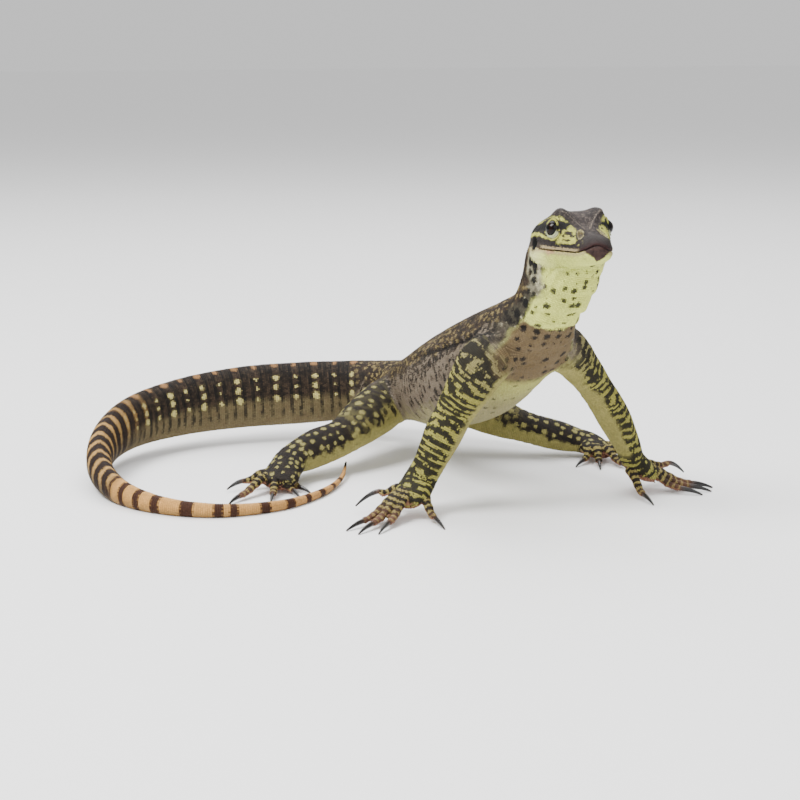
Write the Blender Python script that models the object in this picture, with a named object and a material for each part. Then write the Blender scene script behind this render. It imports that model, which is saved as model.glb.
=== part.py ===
"""Argus monitor: a still, life-size model of a slim young animal standing with its head raised.

The animal faces -Y with its right side towards -X, and stands on the floor at Z = 0.
Sizes in the tables are millimetres. The body, legs and tail are tubes lofted through a few
stations, and the script parts them with thin cuts where a person would name their parts.
"""

import math

import bmesh
import bpy
from mathutils import Matrix, Vector

MM = 0.001
GAP = 0.3  # clear space between pieces that touch
PLACE = (34.1, 0.1)  # moves the whole animal so that its box is centred on the origin

# A body station: x, y, z of the middle, half width, height above and depth below the middle.
BODY = (
    (4.0, -79.5, 112.0, 10.4, 11.5, 9.0),  # under the back of the skull
    (3.0, -79.5, 103.0, 12.8, 13.6, 14.0),  # throat
    (1.4, -76.0, 92.0, 12.8, 14.4, 13.0),
    (-0.4, -69.0, 81.0, 13.8, 14.0, 10.5),  # root of the neck
    (0.0, -55.0, 71.5, 19.0, 16.0, 14.5),  # shoulders
    (-0.5, -33.0, 61.0, 21.5, 18.0, 19.0),
    (-0.5, -8.0, 50.0, 23.0, 19.0, 22.5),  # widest, at the ribs
    (0.0, 18.0, 40.5, 22.0, 17.5, 21.5),
    (0.0, 40.0, 34.0, 18.0, 14.8, 18.0),
    (0.0, 58.0, 29.0, 14.5, 13.0, 14.5),  # hips
    (-5.0, 75.0, 26.0, 11.8, 12.8, 14.0),  # vent
    (-19.0, 88.5, 24.0, 10.8, 13.4, 14.5),  # root of the tail
    (-43.0, 97.0, 22.5, 9.6, 14.3, 14.8),
    (-70.0, 102.0, 21.5, 8.8, 14.2, 14.4),
    (-98.0, 101.0, 19.5, 8.0, 13.2, 13.2),
    (-124.0, 90.0, 17.0, 7.2, 11.8, 11.6),
    (-142.0, 69.0, 13.5, 6.2, 9.8, 9.4),
    (-151.0, 44.0, 9.2, 5.2, 7.2, 7.6),  # the tail comes down to the floor here
    (-149.5, 18.0, 5.6, 4.1, 4.9, 5.7),
    (-138.0, -4.0, 3.5, 3.2, 3.3, 3.6),
    (-118.0, -18.5, 2.8, 2.7, 2.6, 2.9),
    (-92.0, -18.5, 2.2, 2.1, 2.0, 2.3),
    (-70.0, -6.0, 1.9, 1.6, 1.5, 1.8),
    (-54.5, 11.0, 2.2, 1.1, 1.1, 1.1),
    (-44.5, 30.0, 4.4, 0.5, 0.5, 0.5),  # tip, just off the floor
)
ROUNDNESS = 2.2  # exponent of the cross section, where 2 is an ellipse
BODY_CUTS = (
    ("neck", 0.0, 3.2, 10),
    ("chest", 3.2, 5.3, 7),
    ("belly", 5.3, 7.6, 7),
    ("hips", 7.6, 10.0, 8),
    ("tail_1", 10.0, 12.0, 6),
    ("tail_2", 12.0, 14.0, 6),
    ("tail_3", 14.0, 15.6, 5),
    ("tail_4", 15.6, 17.2, 5),
    ("tail_5", 17.2, 18.9, 5),
    ("tail_6", 18.9, 20.8, 5),
    ("tail_7", 20.8, 24.0, 7),
)  # name, first and last station, lengths
BODY_SIDES = 22
TAIL_SIDES = 12

# The head's own axis runs back from the tip of the snout along the line of the mouth.
SNOUT = (0.0, -110.8, 110.6)
HEAD_TURN = 9.5  # degrees towards the animal's right
HEAD_PITCH = 4.0  # degrees nose up
# A head station: distance behind the snout, half width, height above and depth below the mouth.
HEAD = (
    (0.0, 1.6, 1.4, 1.0),
    (1.2, 4.2, 3.6, 2.6),
    (4.0, 6.4, 5.6, 4.0),
    (8.0, 7.9, 6.8, 4.8),
    (12.0, 9.0, 8.2, 5.3),
    (16.0, 10.4, 10.4, 5.8),  # front of the eyes
    (20.0, 12.0, 13.4, 6.4),
    (24.0, 12.6, 14.8, 7.2),
    (29.0, 13.0, 14.8, 8.4),
    (34.0, 13.8, 14.0, 9.6),  # corner of the jaw
    (39.0, 13.2, 12.8, 10.4),
    (44.0, 10.6, 10.8, 10.0),
    (47.5, 7.2, 7.6, 7.6),
    (49.0, 2.6, 3.0, 3.0),
)
HEAD_LENGTHS = 20
HEAD_SIDES = 24
BROW = (21.5, 7.0, 2.3)  # middle, half length and height of the ridge over each eye
CROWN_DIP = 0.9  # hollow along the top of the head between the brows
HEAD_ROUNDNESS = 2.4
BROW_SHELF = 1.2  # makes the head squarer over the eyes
MOUTH_CORNER = 31.0  # how far back the mouth is cut
EYE = (22.0, 9.7, 8.2)  # behind the snout, off the midline, above the mouth
EYE_RADIUS = 3.4

# A limb station: x, y, z, half breadth and half thickness. The last three make the palm.
ARM_RIGHT = (
    (-8.0, -56.0, 69.0, 8.0, 8.0),
    (-18.5, -56.5, 63.0, 11.0, 9.8),
    (-24.0, -53.0, 53.0, 9.8, 8.8),
    (-28.0, -48.5, 42.5, 8.0, 7.6),  # elbow
    (-33.5, -47.0, 31.5, 8.0, 7.2),
    (-38.5, -45.5, 20.5, 6.8, 5.6),  # wrist
    (-42.0, -44.5, 13.5, 7.4, 5.0),
    (-47.5, -48.0, 8.8, 7.6, 4.2),
    (-51.0, -50.5, 6.6, 5.6, 3.0),
)
ARM_LEFT = (
    (8.0, -53.0, 69.0, 8.0, 8.0),
    (18.2, -51.5, 64.6, 9.8, 9.2),
    (28.0, -49.5, 55.0, 8.5, 7.8),
    (37.0, -48.0, 44.5, 7.0, 6.8),
    (45.0, -47.5, 32.5, 7.2, 6.8),
    (51.5, -47.5, 21.0, 6.8, 5.6),
    (55.0, -47.5, 13.5, 7.4, 5.0),
    (59.5, -50.0, 8.8, 7.6, 4.2),
    (63.0, -52.0, 6.6, 5.6, 3.0),
)
LEG_RIGHT = (
    (-5.0, 55.0, 28.0, 10.0, 9.0),
    (-17.0, 49.0, 25.0, 11.8, 10.4),
    (-31.5, 40.0, 20.0, 11.0, 9.4),
    (-45.0, 32.0, 15.5, 8.8, 7.4),  # knee
    (-58.5, 28.0, 12.5, 9.2, 7.6),
    (-71.5, 23.0, 9.5, 7.6, 6.0),  # heel
    (-77.5, 17.0, 7.4, 7.4, 5.0),
    (-82.5, 9.5, 5.8, 8.0, 4.2),
    (-85.5, 5.0, 4.6, 6.2, 3.0),
)
LEG_LEFT = (
    (5.0, 55.0, 28.0, 10.0, 9.0),
    (16.5, 47.5, 24.0, 11.6, 10.0),
    (30.5, 36.0, 17.5, 10.4, 8.6),
    (43.0, 26.5, 12.8, 8.4, 6.8),
    (54.5, 20.0, 9.6, 8.4, 6.2),
    (64.0, 14.8, 7.0, 7.2, 5.0),
    (67.5, 10.0, 5.8, 7.2, 4.4),
    (67.3, 3.5, 5.0, 7.8, 3.8),
    (67.0, -0.5, 4.2, 6.0, 2.8),
)
LIMB_JOINTS = (3.0, 5.2)  # elbow or knee, then wrist or heel, as stations
LIMB_SIDES = 12

# Digits fan out from the middle of the palm: heading in degrees from +X towards +Y, and the
# distance from there to the tip of the claw, thumb side first.
HAND_RIGHT = ((-43.5, -43.5), (271.0, 222.0, 211.5, 201.5, 157.0), (27.0, 34.5, 38.5, 38.0, 24.0))
HAND_LEFT = ((52.0, -45.5), (266.0, 320.0, 330.5, 340.5, 12.0), (27.0, 33.0, 36.5, 38.0, 35.0))
FOOT_RIGHT = ((-81.5, 15.0), (302.0, 277.0, 244.0, 213.0, 174.0), (17.5, 20.5, 26.0, 33.0, 22.0))
FOOT_LEFT = ((67.2, 4.6), (210.0, 246.0, 279.0, 302.0, 352.0), (17.5, 19.0, 24.5, 30.0, 21.0))
DIGIT_ROOT = 0.2  # share of the reach where a digit leaves the palm
HAND_CLAW = 9.0
FOOT_CLAW = 6.5
DIGIT_RADII = (2.6, 2.3, 1.9, 1.7, 1.4)
HAND_HEIGHTS = (10.0, 8.6, 6.0, 3.4, 2.4)  # a digit slopes from the palm and is flat at the tip
FOOT_HEIGHTS = (6.2, 6.2, 4.6, 2.8, 2.2)
DIGIT_SIDES = 8
CLAW_RADII = (1.15, 1.0, 0.72, 0.36)
CLAW_SIDES = 6

SKIN = (0.33, 0.29, 0.20)
TAIL_SKIN = (0.42, 0.34, 0.22)
EYE_COLOUR = (0.03, 0.02, 0.015)
CLAW_COLOUR = (0.035, 0.025, 0.022)


def clear_scene():
    for thing in list(bpy.data.objects):
        bpy.data.objects.remove(thing, do_unlink=True)


def material(name, colour, roughness):
    made = bpy.data.materials.new(name)
    made.use_nodes = True
    shader = made.node_tree.nodes["Principled BSDF"]
    shader.inputs["Base Color"].default_value = (*colour, 1.0)
    shader.inputs["Roughness"].default_value = roughness
    shader.inputs["Metallic"].default_value = 0.0
    return made


def station(table, t):
    """Read a table of stations at t as a smooth curve through them."""
    last = len(table) - 1
    i = min(max(int(t), 0), last - 1)
    f = t - i
    a, b, c, d = (table[min(max(k, 0), last)] for k in (i - 1, i, i + 1, i + 2))
    return [
        0.5 * (2 * q + (r - p) * f + (2 * p - 5 * q + 4 * r - s) * f * f + (3 * q - p - 3 * r + s) * f**3)
        for p, q, r, s in zip(a, b, c, d)
    ]


def direction(table, t):
    step = 0.01
    ahead = Vector(station(table, min(t + step, len(table) - 1))[:3])
    behind = Vector(station(table, max(t - step, 0.0))[:3])
    return (ahead - behind).normalized()


def frame_at(table, t, reference):
    """The unit vectors of a cross section: along the tube, to its side and to its back."""
    along = direction(table, t)
    back = (reference - along * reference.dot(along)).normalized()
    return along, along.cross(back), back


def rounded(value, exponent):
    return math.copysign(abs(value) ** (2.0 / exponent), value)


def section(middle, side, back, wide, up, down, sides, exponent=2.0):
    """One ring of points, kept on or above the floor."""
    points = []
    for k in range(sides):
        turn = 2 * math.pi * (k + 0.5) / sides
        across = rounded(math.cos(turn), exponent) * wide
        rise = rounded(math.sin(turn), exponent) * (up if math.sin(turn) > 0 else down)
        point = middle + side * across + back * rise
        point.z = max(point.z, 0.0)
        points.append(point * MM)
    return points


def loft(rings):
    """A closed mesh through rings of equal numbers of points, with flat ends."""
    mesh = bmesh.new()
    loops = [[mesh.verts.new(point) for point in ring] for ring in rings]
    sides = len(loops[0])
    for first, second in zip(loops, loops[1:]):
        for k in range(sides):
            n = (k + 1) % sides
            mesh.faces.new((first[k], first[n], second[n], second[k]))
    mesh.faces.new(list(reversed(loops[0])))
    mesh.faces.new(loops[-1])
    bmesh.ops.recalc_face_normals(mesh, faces=mesh.faces)
    return mesh


def add_object(name, mesh, look):
    """Turn a bmesh into a smooth-shaded object with its own material."""
    data = bpy.data.meshes.new(name)
    bmesh.ops.triangulate(mesh, faces=mesh.faces)
    mesh.to_mesh(data)
    mesh.free()
    data.materials.append(look)
    made = bpy.data.objects.new(name, data)
    bpy.context.collection.objects.link(made)
    return made


def combine(target, tools, operation):
    """Apply exact Booleans to the target one tool at a time, and remove the tools."""
    for tool in tools:
        step = target.modifiers.new(operation, "BOOLEAN")
        step.operation = operation
        step.solver = "EXACT"
        step.object = tool
        bpy.context.view_layer.update()
        result = bpy.data.meshes.new_from_object(
            target.evaluated_get(bpy.context.evaluated_depsgraph_get())
        )
        target.modifiers.clear()
        target.data = result
        bpy.data.objects.remove(tool, do_unlink=True)


def tidy(thing):
    """Weld the slivers that a Boolean leaves."""
    mesh = bmesh.new()
    mesh.from_mesh(thing.data)
    bmesh.ops.remove_doubles(mesh, verts=mesh.verts, dist=0.004 * MM)
    bmesh.ops.dissolve_degenerate(mesh, edges=mesh.edges, dist=0.001 * MM)
    bmesh.ops.triangulate(mesh, faces=mesh.faces)
    mesh.to_mesh(thing.data)
    mesh.free()


def gap_share(table, t):
    """Half a gap along the tube, counted in stations."""
    step = 0.01
    here = Vector(station(table, t)[:3])
    there = Vector(station(table, t + step if t + step <= len(table) - 1 else t - step)[:3])
    return 0.5 * GAP * step / (there - here).length


def tube(table, first, last, lengths, sides, reference, grow=0.0, exponent=2.0):
    """Rings of a stretch of tube between two stations, grown outward when it is a cutter."""
    start = first + (gap_share(table, first) if first > 0 else 0.0)
    end = last - (gap_share(table, last) if last < len(table) - 1 else 0.0)
    rings = []
    for i in range(lengths + 1):
        t = start + (end - start) * i / lengths
        along, side, back = frame_at(table, t, reference)
        values = station(table, t)
        wide = values[3] + grow
        up = values[4] + grow
        down = (values[5] if len(values) > 5 else values[4]) + grow
        rings.append(section(Vector(values[:3]), side, back, wide, up, down, sides, exponent))
    return rings


def place(point):
    """A point of the tables in the final frame."""
    return Vector((point[0] + PLACE[0], point[1] + PLACE[1], point[2]))


def placed(table):
    return tuple((*place(row[:3]), *row[3:]) for row in table)


BODY_LINE = placed(BODY)
UP = Vector((0.0, 0.0, 1.0))


def head_frame():
    """The head's axes: to its left, forward and up, and the tip of its snout."""
    turn = Matrix.Rotation(math.radians(-HEAD_TURN), 3, "Z")
    pitch = Matrix.Rotation(math.radians(-HEAD_PITCH), 3, "X")
    axes = turn @ pitch
    return axes @ Vector((1, 0, 0)), axes @ Vector((0, -1, 0)), axes @ Vector((0, 0, 1)), place(SNOUT)


def head_ring(back_by, wide, up, down, grow):
    """One ring of the head, with brow ridges and a hollow crown."""
    left, forward, top, tip = head_frame()
    middle = tip - forward * back_by
    away = (back_by - BROW[0]) / BROW[1]
    swell = math.exp(-away * away)
    points = []
    for k in range(HEAD_SIDES):
        turn = 2 * math.pi * (k + 0.5) / HEAD_SIDES
        cosine, sine = math.cos(turn), math.sin(turn)
        boxy = HEAD_ROUNDNESS + BROW_SHELF * swell * max(sine, 0.0)
        across = rounded(cosine, boxy) * (wide + grow)
        rise = rounded(sine, boxy) * ((up if sine > 0 else down) + grow)
        if sine > 0:
            on_brow = math.exp(-(((abs(across) - 8.0) / 2.6) ** 2))
            on_crown = math.exp(-((across / 4.0) ** 2))
            rise += swell * (BROW[2] * on_brow - CROWN_DIP * on_crown)
        points.append((middle + left * across + top * rise) * MM)
    return points


def head_solid(name, look, grow=0.0):
    """The whole head, closed at the snout and behind the jaw."""
    line = [(*row, 0.0) for row in HEAD]
    rings = []
    for i in range(HEAD_LENGTHS + 1):
        t = (len(HEAD) - 1) * i / HEAD_LENGTHS
        back_by, wide, up, down = station(line, t)[:4]
        back_by += grow * (2.0 * i / HEAD_LENGTHS - 1.0)
        rings.append(head_ring(back_by, wide, up, down, grow))
    return add_object(name, loft(rings), look)


def jaw_box(name, look, grow):
    """A block that takes in all of the head under the mouth and ahead of its corner."""
    left, forward, top, tip = head_frame()
    mesh = bmesh.new()
    bmesh.ops.create_cube(mesh, size=1.0)
    front, rear = 5.0, MOUTH_CORNER + grow
    high, low = grow, -30.0
    half = 30.0
    for vertex in mesh.verts:
        across = half if vertex.co.x > 0 else -half
        along = front if vertex.co.y > 0 else -rear
        rise = high if vertex.co.z > 0 else low
        vertex.co = (tip + left * across + forward * along + top * rise) * MM
    bmesh.ops.recalc_face_normals(mesh, faces=mesh.faces)
    return add_object(name, mesh, look)


def ball(name, middle, radius, look, segments=12, rings=8):
    mesh = bmesh.new()
    bmesh.ops.create_uvsphere(mesh, u_segments=segments, v_segments=rings, radius=radius * MM)
    bmesh.ops.translate(mesh, verts=mesh.verts, vec=middle * MM)
    return add_object(name, mesh, look)


def eye_middle(side):
    left, forward, top, tip = head_frame()
    return tip - forward * EYE[0] + left * (EYE[1] * side) + top * EYE[2]


def make_head(skin, eye_look):
    """Skull and lower jaw with a thin mouth between them, and the eyes in their sockets."""
    head = head_solid("head", skin)
    jaw = head_solid("lower_jaw", skin)
    combine(jaw, [jaw_box("jaw_tool", skin, 0.0)], "INTERSECT")
    tools = [jaw_box("mouth_tool", skin, GAP)]
    for side in (-1, 1):
        tools.append(ball("socket_tool", eye_middle(side), EYE_RADIUS + GAP, skin, 16, 10))
    combine(head, tools, "DIFFERENCE")
    for name, side in (("eye_right", -1), ("eye_left", 1)):
        ball(name, eye_middle(side), EYE_RADIUS, eye_look)
    tidy(head)
    tidy(jaw)


def make_body(skin, tail_skin):
    """Neck, trunk and tail, cut from one tube."""
    for name, first, last, lengths in BODY_CUTS:
        on_tail = name.startswith("tail")
        sides = TAIL_SIDES if on_tail else BODY_SIDES
        look = tail_skin if on_tail else skin
        rings = tube(BODY_LINE, first, last, lengths, sides, UP, exponent=ROUNDNESS)
        piece = add_object(name, loft(rings), look)
        if name == "neck":
            combine(piece, [head_solid("head_tool", look, GAP)], "DIFFERENCE")
            tidy(piece)


def body_cutter(look):
    rings = tube(BODY_LINE, 2.5, 11.5, 22, BODY_SIDES, UP, grow=GAP, exponent=ROUNDNESS)
    return add_object("body_tool", loft(rings), look)


def heading_vector(degrees):
    return Vector((math.cos(math.radians(degrees)), math.sin(math.radians(degrees)), 0.0))


def digit_line(palm, heading, reach, claw, heights, raise_by):
    """Stations of one digit, from inside the palm to the root of its claw."""
    ahead = heading_vector(heading)
    last = reach - claw
    line = []
    for k, (radius, height) in enumerate(zip(DIGIT_RADII, heights)):
        share = k / (len(DIGIT_RADII) - 1)
        out = reach * DIGIT_ROOT + (last - reach * DIGIT_ROOT) * share
        spot = place((*palm, 0.0)) + ahead * out
        line.append((spot.x, spot.y, height + raise_by * share, radius, radius * 0.9))
    return line


def claw_rings(line, heading, claw, raise_by):
    """A curved claw that starts a gap beyond its digit and comes down to the floor."""
    ahead = heading_vector(heading)
    start = Vector(line[-1][:3])
    end_height = raise_by * 0.4 + 0.1
    rings = []
    for k, radius in enumerate(CLAW_RADII):
        share = k / (len(CLAW_RADII) - 1)
        fall = share ** 1.6
        middle = start + ahead * (GAP + (claw - GAP) * share)
        middle.z = start.z * (1 - fall) + (end_height + radius * 0.5) * fall
        lean = Vector((ahead.x, ahead.y, -0.5 * share)).normalized()
        side = lean.cross(UP).normalized()
        rings.append(section(middle, side, side.cross(lean), radius * 0.8, radius, radius, CLAW_SIDES))
    return rings


def make_foot(name, table, reference, fan, shape, skin, claw_look):
    """Palm and five digits joined as one solid, and five claws."""
    palm, headings, reaches = fan
    claw, heights, raised = shape
    rings = tube(table, LIMB_JOINTS[1], len(table) - 1, 5, LIMB_SIDES, reference)
    foot = add_object(name, loft(rings), skin)
    digits = []
    for number, (heading, reach) in enumerate(zip(headings, reaches), 1):
        raise_by = raised if number == 5 else 0.0
        line = digit_line(palm, heading, reach, claw, heights, raise_by)
        rings = tube(line, 0, len(line) - 1, 4, DIGIT_SIDES, UP)
        digits.append(add_object("digit_tool", loft(rings), skin))
        rings = claw_rings(line, heading, claw, raise_by)
        add_object(f"{name}_claw_{number}", loft(rings), claw_look)
    combine(foot, digits, "UNION")
    tidy(foot)


def make_limb(names, table, fan, shape, forward_share, skin, claw_look):
    """Upper length, lower length and foot of one limb, clear of the body."""
    upper, lower, foot = names
    line = placed(table)
    headings = fan[1]
    reference = (UP + heading_vector(headings[2]) * forward_share).normalized()
    rings = tube(line, 0, LIMB_JOINTS[0], 6, LIMB_SIDES, reference)
    piece = add_object(upper, loft(rings), skin)
    combine(piece, [body_cutter(skin)], "DIFFERENCE")
    tidy(piece)
    rings = tube(line, *LIMB_JOINTS, 5, LIMB_SIDES, reference)
    add_object(lower, loft(rings), skin)
    make_foot(foot, line, reference, fan, shape, skin, claw_look)


def shade():
    for thing in bpy.data.objects:
        thing.data.shade_smooth()
        thing.data.set_sharp_from_angle(angle=math.radians(50))


def main():
    clear_scene()
    skin = material("skin", SKIN, 0.55)
    tail_skin = material("tail_skin", TAIL_SKIN, 0.55)
    eye_look = material("eye", EYE_COLOUR, 0.05)
    claw_look = material("claw", CLAW_COLOUR, 0.3)
    make_head(skin, eye_look)
    make_body(skin, tail_skin)
    arms = ("upper_arm", "forearm", "hand")
    legs = ("thigh", "shank", "foot")
    limbs = (
        (arms, "right", ARM_RIGHT, HAND_RIGHT, (HAND_CLAW, HAND_HEIGHTS, 6.5), 1.0),
        (arms, "left", ARM_LEFT, HAND_LEFT, (HAND_CLAW, HAND_HEIGHTS, 5.5), 1.0),
        (legs, "right", LEG_RIGHT, FOOT_RIGHT, (FOOT_CLAW, FOOT_HEIGHTS, 2.0), 0.4),
        (legs, "left", LEG_LEFT, FOOT_LEFT, (FOOT_CLAW, FOOT_HEIGHTS, 0.0), 0.4),
    )
    for names, flank, table, fan, shape, forward_share in limbs:
        names = [f"{name}_{flank}" for name in names]
        make_limb(names, table, fan, shape, forward_share, skin, claw_look)
    shade()


main()
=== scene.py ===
# %% [markdown]
# # A slim young Argus monitor, standing with its head raised
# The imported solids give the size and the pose. This lesson covers them with one living-looking
# skin, lays scales over it row by row, and finishes the eyes, claws, floor and light.

# %% Load the solids
import math
import time
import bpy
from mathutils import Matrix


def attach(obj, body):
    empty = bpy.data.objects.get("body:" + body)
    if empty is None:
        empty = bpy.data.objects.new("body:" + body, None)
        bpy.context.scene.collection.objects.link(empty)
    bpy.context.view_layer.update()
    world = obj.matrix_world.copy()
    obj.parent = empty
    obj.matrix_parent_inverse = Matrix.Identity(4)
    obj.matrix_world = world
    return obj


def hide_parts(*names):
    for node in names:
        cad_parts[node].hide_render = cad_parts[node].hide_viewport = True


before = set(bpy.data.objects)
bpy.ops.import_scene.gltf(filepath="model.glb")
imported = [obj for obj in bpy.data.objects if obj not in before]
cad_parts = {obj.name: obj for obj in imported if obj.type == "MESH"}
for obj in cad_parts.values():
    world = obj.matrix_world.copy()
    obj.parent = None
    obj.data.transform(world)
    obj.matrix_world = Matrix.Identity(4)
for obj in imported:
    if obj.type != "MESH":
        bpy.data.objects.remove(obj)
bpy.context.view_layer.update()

from types import SimpleNamespace

import bmesh
import bpy
import numpy as np
from mathutils import Matrix, Vector
from mathutils.bvhtree import BVHTree

STARTED = time.time()
MM = 0.001


def say(*words):
    print(f"[{time.time() - STARTED:5.1f} s]", *words)


say("solids:", len(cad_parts))

# %% [markdown]
# ## The animal's own measures
# A lizard is a set of tapering tubes: neck, trunk and tail are one, each leg is another, and each
# toe is a small one. The tables hold the same stations as the solids, in millimetres: the middle
# of the tube, its half width, and how far it reaches above and below the middle. Tables of this
# kind are easier to read and to change than a sculpted mesh.

# %% Stations of the tubes
PLACE = np.array((34.1, 0.1, 0.0))  # centres the whole animal's box
BODY = (
    (4.0, -79.5, 112.0, 10.4, 11.5, 9.0),
    (3.0, -79.5, 103.0, 12.8, 13.6, 14.0),
    (1.4, -76.0, 92.0, 12.8, 14.4, 13.0),
    (-0.4, -69.0, 81.0, 13.8, 14.0, 10.5),
    (0.0, -55.0, 71.5, 19.0, 16.0, 14.5),
    (-0.5, -33.0, 61.0, 21.5, 18.0, 19.0),
    (-0.5, -8.0, 50.0, 23.0, 19.0, 22.5),
    (0.0, 18.0, 40.5, 22.0, 17.5, 21.5),
    (0.0, 40.0, 34.0, 18.0, 14.8, 18.0),
    (0.0, 58.0, 29.0, 14.5, 13.0, 14.5),
    (-5.0, 75.0, 26.0, 11.8, 12.8, 14.0),
    (-19.0, 88.5, 24.0, 10.8, 13.4, 14.5),
    (-43.0, 97.0, 22.5, 9.6, 14.3, 14.8),
    (-70.0, 102.0, 21.5, 8.8, 14.2, 14.4),
    (-98.0, 101.0, 19.5, 8.0, 13.2, 13.2),
    (-124.0, 90.0, 17.0, 7.2, 11.8, 11.6),
    (-142.0, 69.0, 13.5, 6.2, 9.8, 9.4),
    (-151.0, 44.0, 9.2, 5.2, 7.2, 7.6),
    (-149.5, 18.0, 5.6, 4.1, 4.9, 5.7),
    (-138.0, -4.0, 3.5, 3.2, 3.3, 3.6),
    (-118.0, -18.5, 2.8, 2.7, 2.6, 2.9),
    (-92.0, -18.5, 2.2, 2.1, 2.0, 2.3),
    (-70.0, -6.0, 1.9, 1.6, 1.5, 1.8),
    (-54.5, 11.0, 2.2, 1.1, 1.1, 1.1),
    (-44.5, 30.0, 4.4, 0.5, 0.5, 0.5),
)
TAIL_ROOT = 10.6  # the row of the table where the tail begins
SNOUT = np.array((0.0, -110.8, 110.6))
HEAD_TURN = 9.5
HEAD_PITCH = 4.0
# The head: distance behind the snout, half width, and height above and below the mouth.
HEAD = (
    (0.0, 1.6, 1.4, 1.0),
    (1.2, 4.2, 3.6, 2.6),
    (4.0, 6.4, 5.6, 4.0),
    (8.0, 7.9, 6.8, 4.8),
    (12.0, 9.0, 8.2, 5.3),
    (16.0, 10.4, 10.4, 5.8),
    (20.0, 12.0, 13.4, 6.4),
    (24.0, 12.6, 14.8, 7.2),
    (29.0, 13.0, 14.8, 8.4),
    (34.0, 13.8, 14.0, 9.6),
    (39.0, 13.2, 12.8, 10.4),
    (44.0, 10.6, 10.8, 10.0),
    (47.5, 7.2, 7.6, 7.6),
    (49.0, 2.6, 3.0, 3.0),
)
BROW = (21.2, 7.8, 2.3)  # the brows: behind the snout, half length, height
BROW_RIDGE = (7.6, 3.0)  # off the midline, half width
CROWN_DIP = (0.9, 4.0)  # the hollow between the brows: depth, half width
BODY_ROUNDNESS = 2.2  # 2 makes an oval section, and more makes it squarer
HEAD_ROUNDNESS = 2.4
LIMB_ROUNDNESS = 2.0
BROW_SHELF = 1.2  # the head is this much squarer again over the eyes
EYE = (22.0, 9.7, 8.2)  # behind the snout, off the midline, above the mouth
EYE_RADIUS = 3.4
LIMBS = {
    "arm_right": (
        (-8.0, -56.0, 69.0, 8.0, 8.0),
        (-18.5, -56.5, 63.0, 11.0, 9.8),
        (-24.0, -53.0, 53.0, 9.8, 8.8),
        (-28.0, -48.5, 42.5, 8.0, 7.6),
        (-33.5, -47.0, 31.5, 8.0, 7.2),
        (-38.5, -45.5, 20.5, 6.8, 5.6),
        (-42.0, -44.5, 13.5, 7.4, 5.0),
        (-47.5, -48.0, 8.8, 7.6, 4.2),
        (-51.0, -50.5, 6.6, 5.6, 3.0),
    ),
    "arm_left": (
        (8.0, -53.0, 69.0, 8.0, 8.0),
        (18.2, -51.5, 64.6, 9.8, 9.2),
        (28.0, -49.5, 55.0, 8.5, 7.8),
        (37.0, -48.0, 44.5, 7.0, 6.8),
        (45.0, -47.5, 32.5, 7.2, 6.8),
        (51.5, -47.5, 21.0, 6.8, 5.6),
        (55.0, -47.5, 13.5, 7.4, 5.0),
        (59.5, -50.0, 8.8, 7.6, 4.2),
        (63.0, -52.0, 6.6, 5.6, 3.0),
    ),
    "leg_right": (
        (-5.0, 55.0, 28.0, 10.0, 9.0),
        (-17.0, 49.0, 25.0, 11.8, 10.4),
        (-31.5, 40.0, 20.0, 11.0, 9.4),
        (-45.0, 32.0, 15.5, 8.8, 7.4),
        (-58.5, 28.0, 12.5, 9.2, 7.6),
        (-71.5, 23.0, 9.5, 7.6, 6.0),
        (-77.5, 17.0, 7.4, 7.4, 5.0),
        (-82.5, 9.5, 5.8, 8.0, 4.2),
        (-85.5, 5.0, 4.6, 6.2, 3.0),
    ),
    "leg_left": (
        (5.0, 55.0, 28.0, 10.0, 9.0),
        (16.5, 47.5, 24.0, 11.6, 10.0),
        (30.5, 36.0, 17.5, 10.4, 8.6),
        (43.0, 26.5, 12.8, 8.4, 6.8),
        (54.5, 20.0, 9.6, 8.4, 6.2),
        (64.0, 14.8, 7.0, 7.2, 5.0),
        (67.5, 10.0, 5.8, 7.2, 4.4),
        (67.3, 3.5, 5.0, 7.8, 3.8),
        (67.0, -0.5, 4.2, 6.0, 2.8),
    ),
}
# Toes: the middle of the palm, each toe's heading in degrees and its reach, inner toe first.
FANS = {
    "arm_right": (
        (-43.5, -43.5), (271.0, 222.0, 211.5, 201.5, 157.0), (27.0, 34.5, 38.5, 38.0, 24.0),
    ),
    "arm_left": (
        (52.0, -45.5), (266.0, 320.0, 330.5, 340.5, 12.0), (27.0, 33.0, 36.5, 38.0, 35.0),
    ),
    "leg_right": (
        (-81.5, 15.0), (302.0, 277.0, 244.0, 213.0, 174.0), (17.5, 20.5, 26.0, 33.0, 22.0),
    ),
    "leg_left": (
        (67.2, 4.6), (210.0, 246.0, 279.0, 302.0, 352.0), (17.5, 19.0, 24.5, 30.0, 21.0),
    ),
}
RAISED = {"arm_right": 6.5, "arm_left": 5.5, "leg_right": 2.0, "leg_left": 0.0}  # the outer toe
TOE_ROOT = 0.2  # a toe starts this share of its reach from the palm's middle
CLAW = {"arm": 9.0, "leg": 6.5}
TOE_HEIGHTS = {"arm": (10.0, 8.6, 6.0, 3.4, 2.4), "leg": (6.2, 6.2, 4.6, 2.8, 2.2)}
TOE_RADII = (2.6, 2.3, 1.9, 1.7, 1.4)
TOE_FLATNESS = 0.9  # height of a toe against its width
COAT_DEPTH = 0.3  # the skin lies this far inside the solids, so that scales fill them out
say("tables: body", len(BODY), "stations, head", len(HEAD), ", limbs", len(LIMBS))

# %% [markdown]
# ## Tubes and their measure
# Each table is read as a smooth curve and sampled every half millimetre. From such a tube any
# point in space can be asked how far outside the flesh it is, how far along it lies, and at what
# angle round from the back. The skin, the scales and the markings all use those three answers,
# so they agree with each other everywhere.

# %% Tubes
UP = np.array((0.0, 0.0, 1.0))
TUBE_STEP = 0.5
HEAD_STEP = 0.35


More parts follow.
